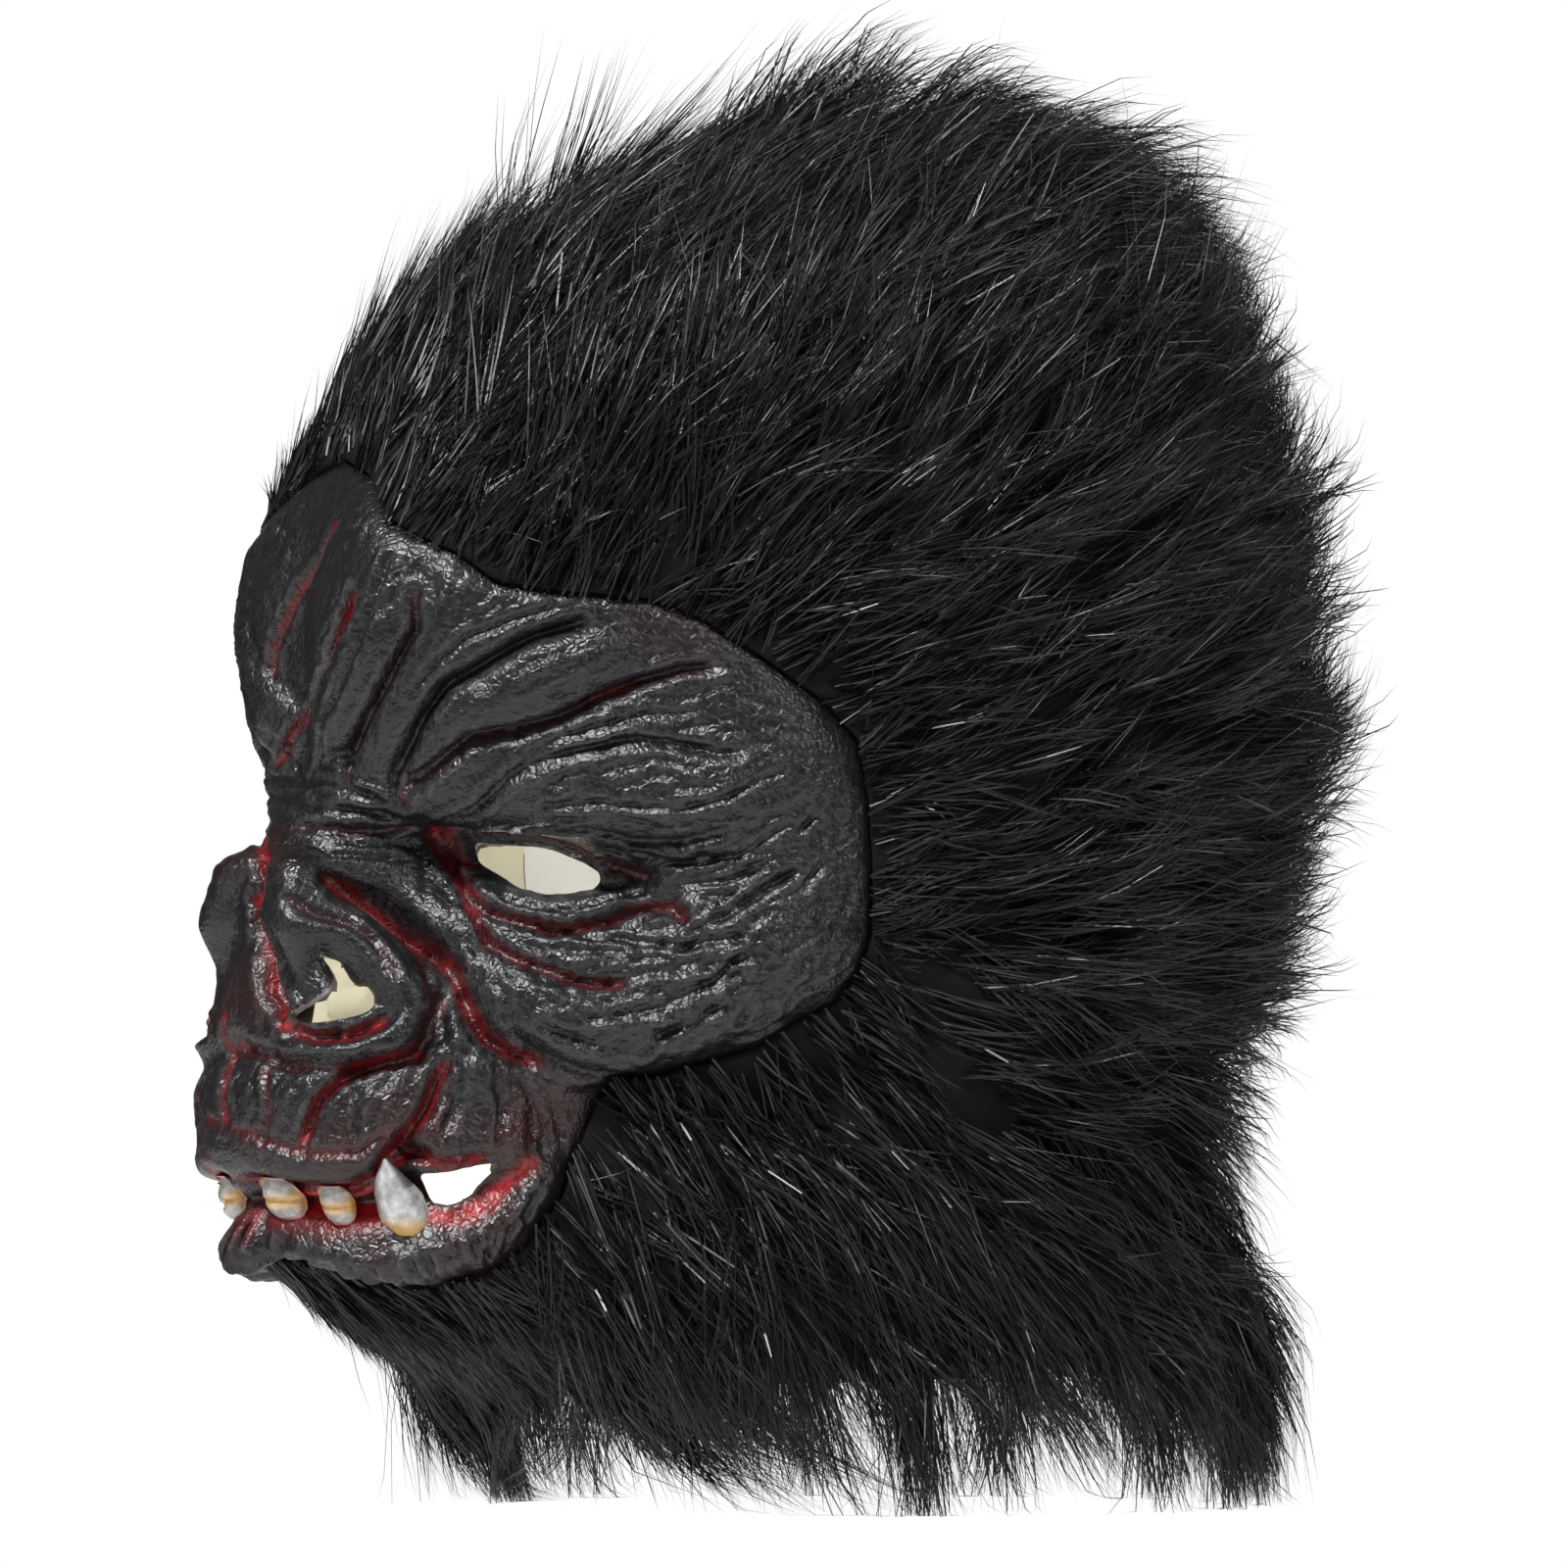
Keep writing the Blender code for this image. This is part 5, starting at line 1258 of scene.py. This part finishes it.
def hair_pieces():
    tones = [("black", (0.0055, 0.0055, 0.006), 0.40), ("soft", (0.010, 0.0098, 0.0098), 0.33), ("light", (0.019, 0.0182, 0.0182), 0.32)]
    mats = [plain_material("hair_" + n, c, r, 0.42) for n, c, r in tones]
    for label, crown, share in (("crown", True, 0.66), ("beard", False, 0.34)):
        verts, c, _ = hair(label, crown, int(TUFTS * share), share, 3)
        v = verts.reshape(c, 9, 3)
        order = rng.permutation(c)
        parts = (0.60, 0.31, 0.09)
        start = 0
        limit = 27500
        for k, (tone, share_k) in enumerate(zip(tones, parts)):
            n_here = int(c * share_k)
            ids = order[start:start + n_here]
            start += n_here
            for piece in range(0, max(len(ids), 1), limit):
                sub = ids[piece:piece + limit]
                if not len(sub):
                    continue
                vv = v[sub].reshape(-1, 3)
                base = (np.arange(len(sub)) * 9)[:, None]
                quads = np.concatenate([base + np.array([[q, q + 4, q + 5, q + 1]]) for q in range(3)], axis=0)
                tris = base + np.array([[3, 7, 8]])
                obj = mesh_object(f"{label}_hair_{tone[0]}_{piece // limit + 1}", vv, [quads, tris], smooth=False)
                obj.data.materials.append(mats[k])
                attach(obj, "root")
                HAIR.append((label, obj))


HAIR = []


def under_fur():
    """The dense lower part of the pile, and the knit backing inside the hood."""
    dark = plain_material("fur_depth", (0.0045, 0.0045, 0.005), 0.85, 0.2)
    knit = plain_material("knit_backing", (0.70, 0.69, 0.66), 0.9, 0.2)
    for label, crown in (("crown", True), ("beard", False)):
        if crown:
            upper, _ = split_edge()
            low = np.vstack([spread(upper, 60), spread(SEAM, 60)[1:]])
            s = np.concatenate([[0.0], np.linspace(0, 1, 61)[:-1]])
            end = np.linspace(0, 180, len(low))
            t = low[:, 0][None, :] + (end - low[:, 0])[None, :] * ease(s)[:, None]
            v = low[:, 1][None, :] * ((1 - s) ** 1.6)[:, None]
        else:
            _, lower = split_edge()
            low = np.vstack([spread(lower[::-1], 70), spread(SEAM, 60)[1:]])
            s = np.concatenate([[0.0], np.linspace(0, 1, 34)])
            t = np.repeat(low[:, 0][None, :], len(s), axis=0)
            v = low[:, 1][None, :] * (1 - s[:, None]) + HEM * s[:, None]
        t = np.hstack([t, -t[:, -2:0:-1]])
        v = np.hstack([v, v[:, -2:0:-1]])
        rows, cols = t.shape
        skin = head_skin(t, v)
        n = out_way(t, v, 9.0, 12.0)
        depth = fur_depth(t, v)
        e = np.maximum(-edge_distance(t, v), 0)
        share = (0.03 + 0.25 * ease(e / 45.0)) * flat_front(t, v)
        wob = 1 + 0.30 * noise3(skin, 7.0, 31) + 0.2 * noise3(skin, 3.0, 32)
        end_fade = np.ones_like(v) if crown else 0.25 + 0.75 * np.clip((v - HEM) / 14.0, 0, 1)
        lift = 0.3 + depth * share * wob * end_fade
        lift[0] = -2.6
        outer = skin + n * lift[..., None]
        inner = skin + n * np.where(e < 4, -2.7, -0.5)[..., None]
        k = (np.arange(rows - 1)[:, None] * cols + np.arange(cols)[None, :]).ravel()
        k2 = (np.arange(rows - 1)[:, None] * cols + (np.arange(cols)[None, :] + 1) % cols).ravel()
        q = np.stack([k, k2, k2 + cols, k + cols], axis=1)
        if not crown:
            q = q[:, ::-1]
        faces_o, faces_i = [q], [q[:, ::-1]]
        po, pi = outer.reshape(-1, 3), inner.reshape(-1, 3)
        if crown:
            last = (rows - 1) * cols
            po = np.vstack([po, [0, po[last:, 1].mean(), po[last:, 2].mean() + 0.3]])
            pi = np.vstack([pi, [0, pi[last:, 1].mean(), 0.28]])
            cap = np.stack([last + np.arange(cols), last + (np.arange(cols) + 1) % cols, np.full(cols, rows * cols)], axis=1)
            faces_o.append(cap)
            faces_i.append(cap[:, ::-1])
        a = mesh_object(label + "_fur_base", po, faces_o)
        a.data.materials.append(dark)
        b = mesh_object(label + "_backing", pi, faces_i)
        b.data.materials.append(knit)
        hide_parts(label + "_fur")
        for o in (a, b):
            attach(o, "root")


# ---------------------------------------------------------------- stage
def stage():
    ring = np.radians(np.arange(0, 360, 5.0))
    disc = np.vstack([[[0, 0, -420]], np.stack([900 * np.cos(ring), 900 * np.sin(ring), -420 + 0 * ring], axis=1)])
    k = np.arange(len(ring))
    floor = mesh_object("floor", disc, np.stack([np.zeros_like(k), 1 + k, 1 + (k + 1) % len(k)], axis=1))
    floor.data.materials.append(plain_material("floor_white", (0.90, 0.90, 0.90), 0.9, 0.1))
    world = bpy.data.worlds.new("studio")
    world.use_nodes = True
    tree = world.node_tree
    bg = tree.nodes["Background"]
    co = tree.nodes.new("ShaderNodeTexCoord")
    toward = tree.nodes.new("ShaderNodeVectorMath")
    toward.operation = "DOT_PRODUCT"
    tree.links.new(co.outputs["Generated"], toward.inputs[0])
    toward.inputs[1].default_value = (-math.sin(VIEW_TURN), math.cos(VIEW_TURN), 0.0)
    tree.links.new(ramp(tree, toward.outputs["Value"], 0.955, 0.985, SKY, 1.0), bg.inputs["Strength"])
    bg.inputs["Color"].default_value = (1.0, 1.0, 1.0, 1)
    bpy.context.scene.world = world

    def lamp(name, place, aim, size, watts, color=(1, 1, 1)):
        data = bpy.data.lights.new(name, "AREA")
        data.shape = "RECTANGLE"
        data.size, data.size_y = size
        data.energy = watts
        data.color = color
        obj = bpy.data.objects.new(name, data)
        bpy.context.scene.collection.objects.link(obj)
        obj.location = place
        obj.rotation_mode = "QUATERNION"
        obj.rotation_quaternion = (Vector(aim) - Vector(place)).to_track_quat("-Z", "Y")
        return obj

    mid = (0.0, -0.02, -0.14)
    lamp("key", (0.50, -1.20, 1.35), mid, (0.36, 0.36), 44)
    lamp("side", (1.75, 0.20, 0.75), mid, (0.35, 1.1), 10)
    lamp("top", (0.1, 0.35, 1.45), mid, (0.8, 0.5), 7)
    lamp("back", (-1.1, 1.2, 0.6), mid, (0.5, 1.0), 8)
    lamp("front_low", (-0.2, -1.5, -0.10), mid, (0.5, 0.8), 2)
    lamp("inner", (0.0, -0.03, -0.30), (0.0, -0.03, -0.1), (0.09, 0.09), 0.25)

    cam_data = bpy.data.cameras.new("camera")
    cam = bpy.data.objects.new("camera", cam_data)
    bpy.context.scene.collection.objects.link(cam)
    cam_data.sensor_width = 36.0
    distance = 10.0
    cam_data.lens = 36.0 * distance * 4.3 / 1.6
    cam_data.clip_start, cam_data.clip_end = 0.05, 20.0
    turn, rise = VIEW_TURN, math.radians(VIEW_RISE)
    back = Vector((math.sin(turn) * math.cos(rise), -math.cos(turn) * math.cos(rise), math.sin(rise)))
    target = Vector(TARGET)
    cam.location = target + back * distance
    cam.rotation_mode = "QUATERNION"
    cam.rotation_quaternion = (-back).to_track_quat("-Z", "Y")
    bpy.context.scene.camera = cam
    bpy.context.scene.view_settings.view_transform = "Standard"
    bpy.context.scene.view_settings.look = "None"


SKY = 0.10                  # soft light from all round; behind the mask the backdrop is white
VIEW_RISE = 0.5
TARGET = (-0.0031, -0.0254, -0.1456)


def main():
    build_face_skin()
    build_teeth()
    under_fur()
    hair_pieces()
    stage()


main()
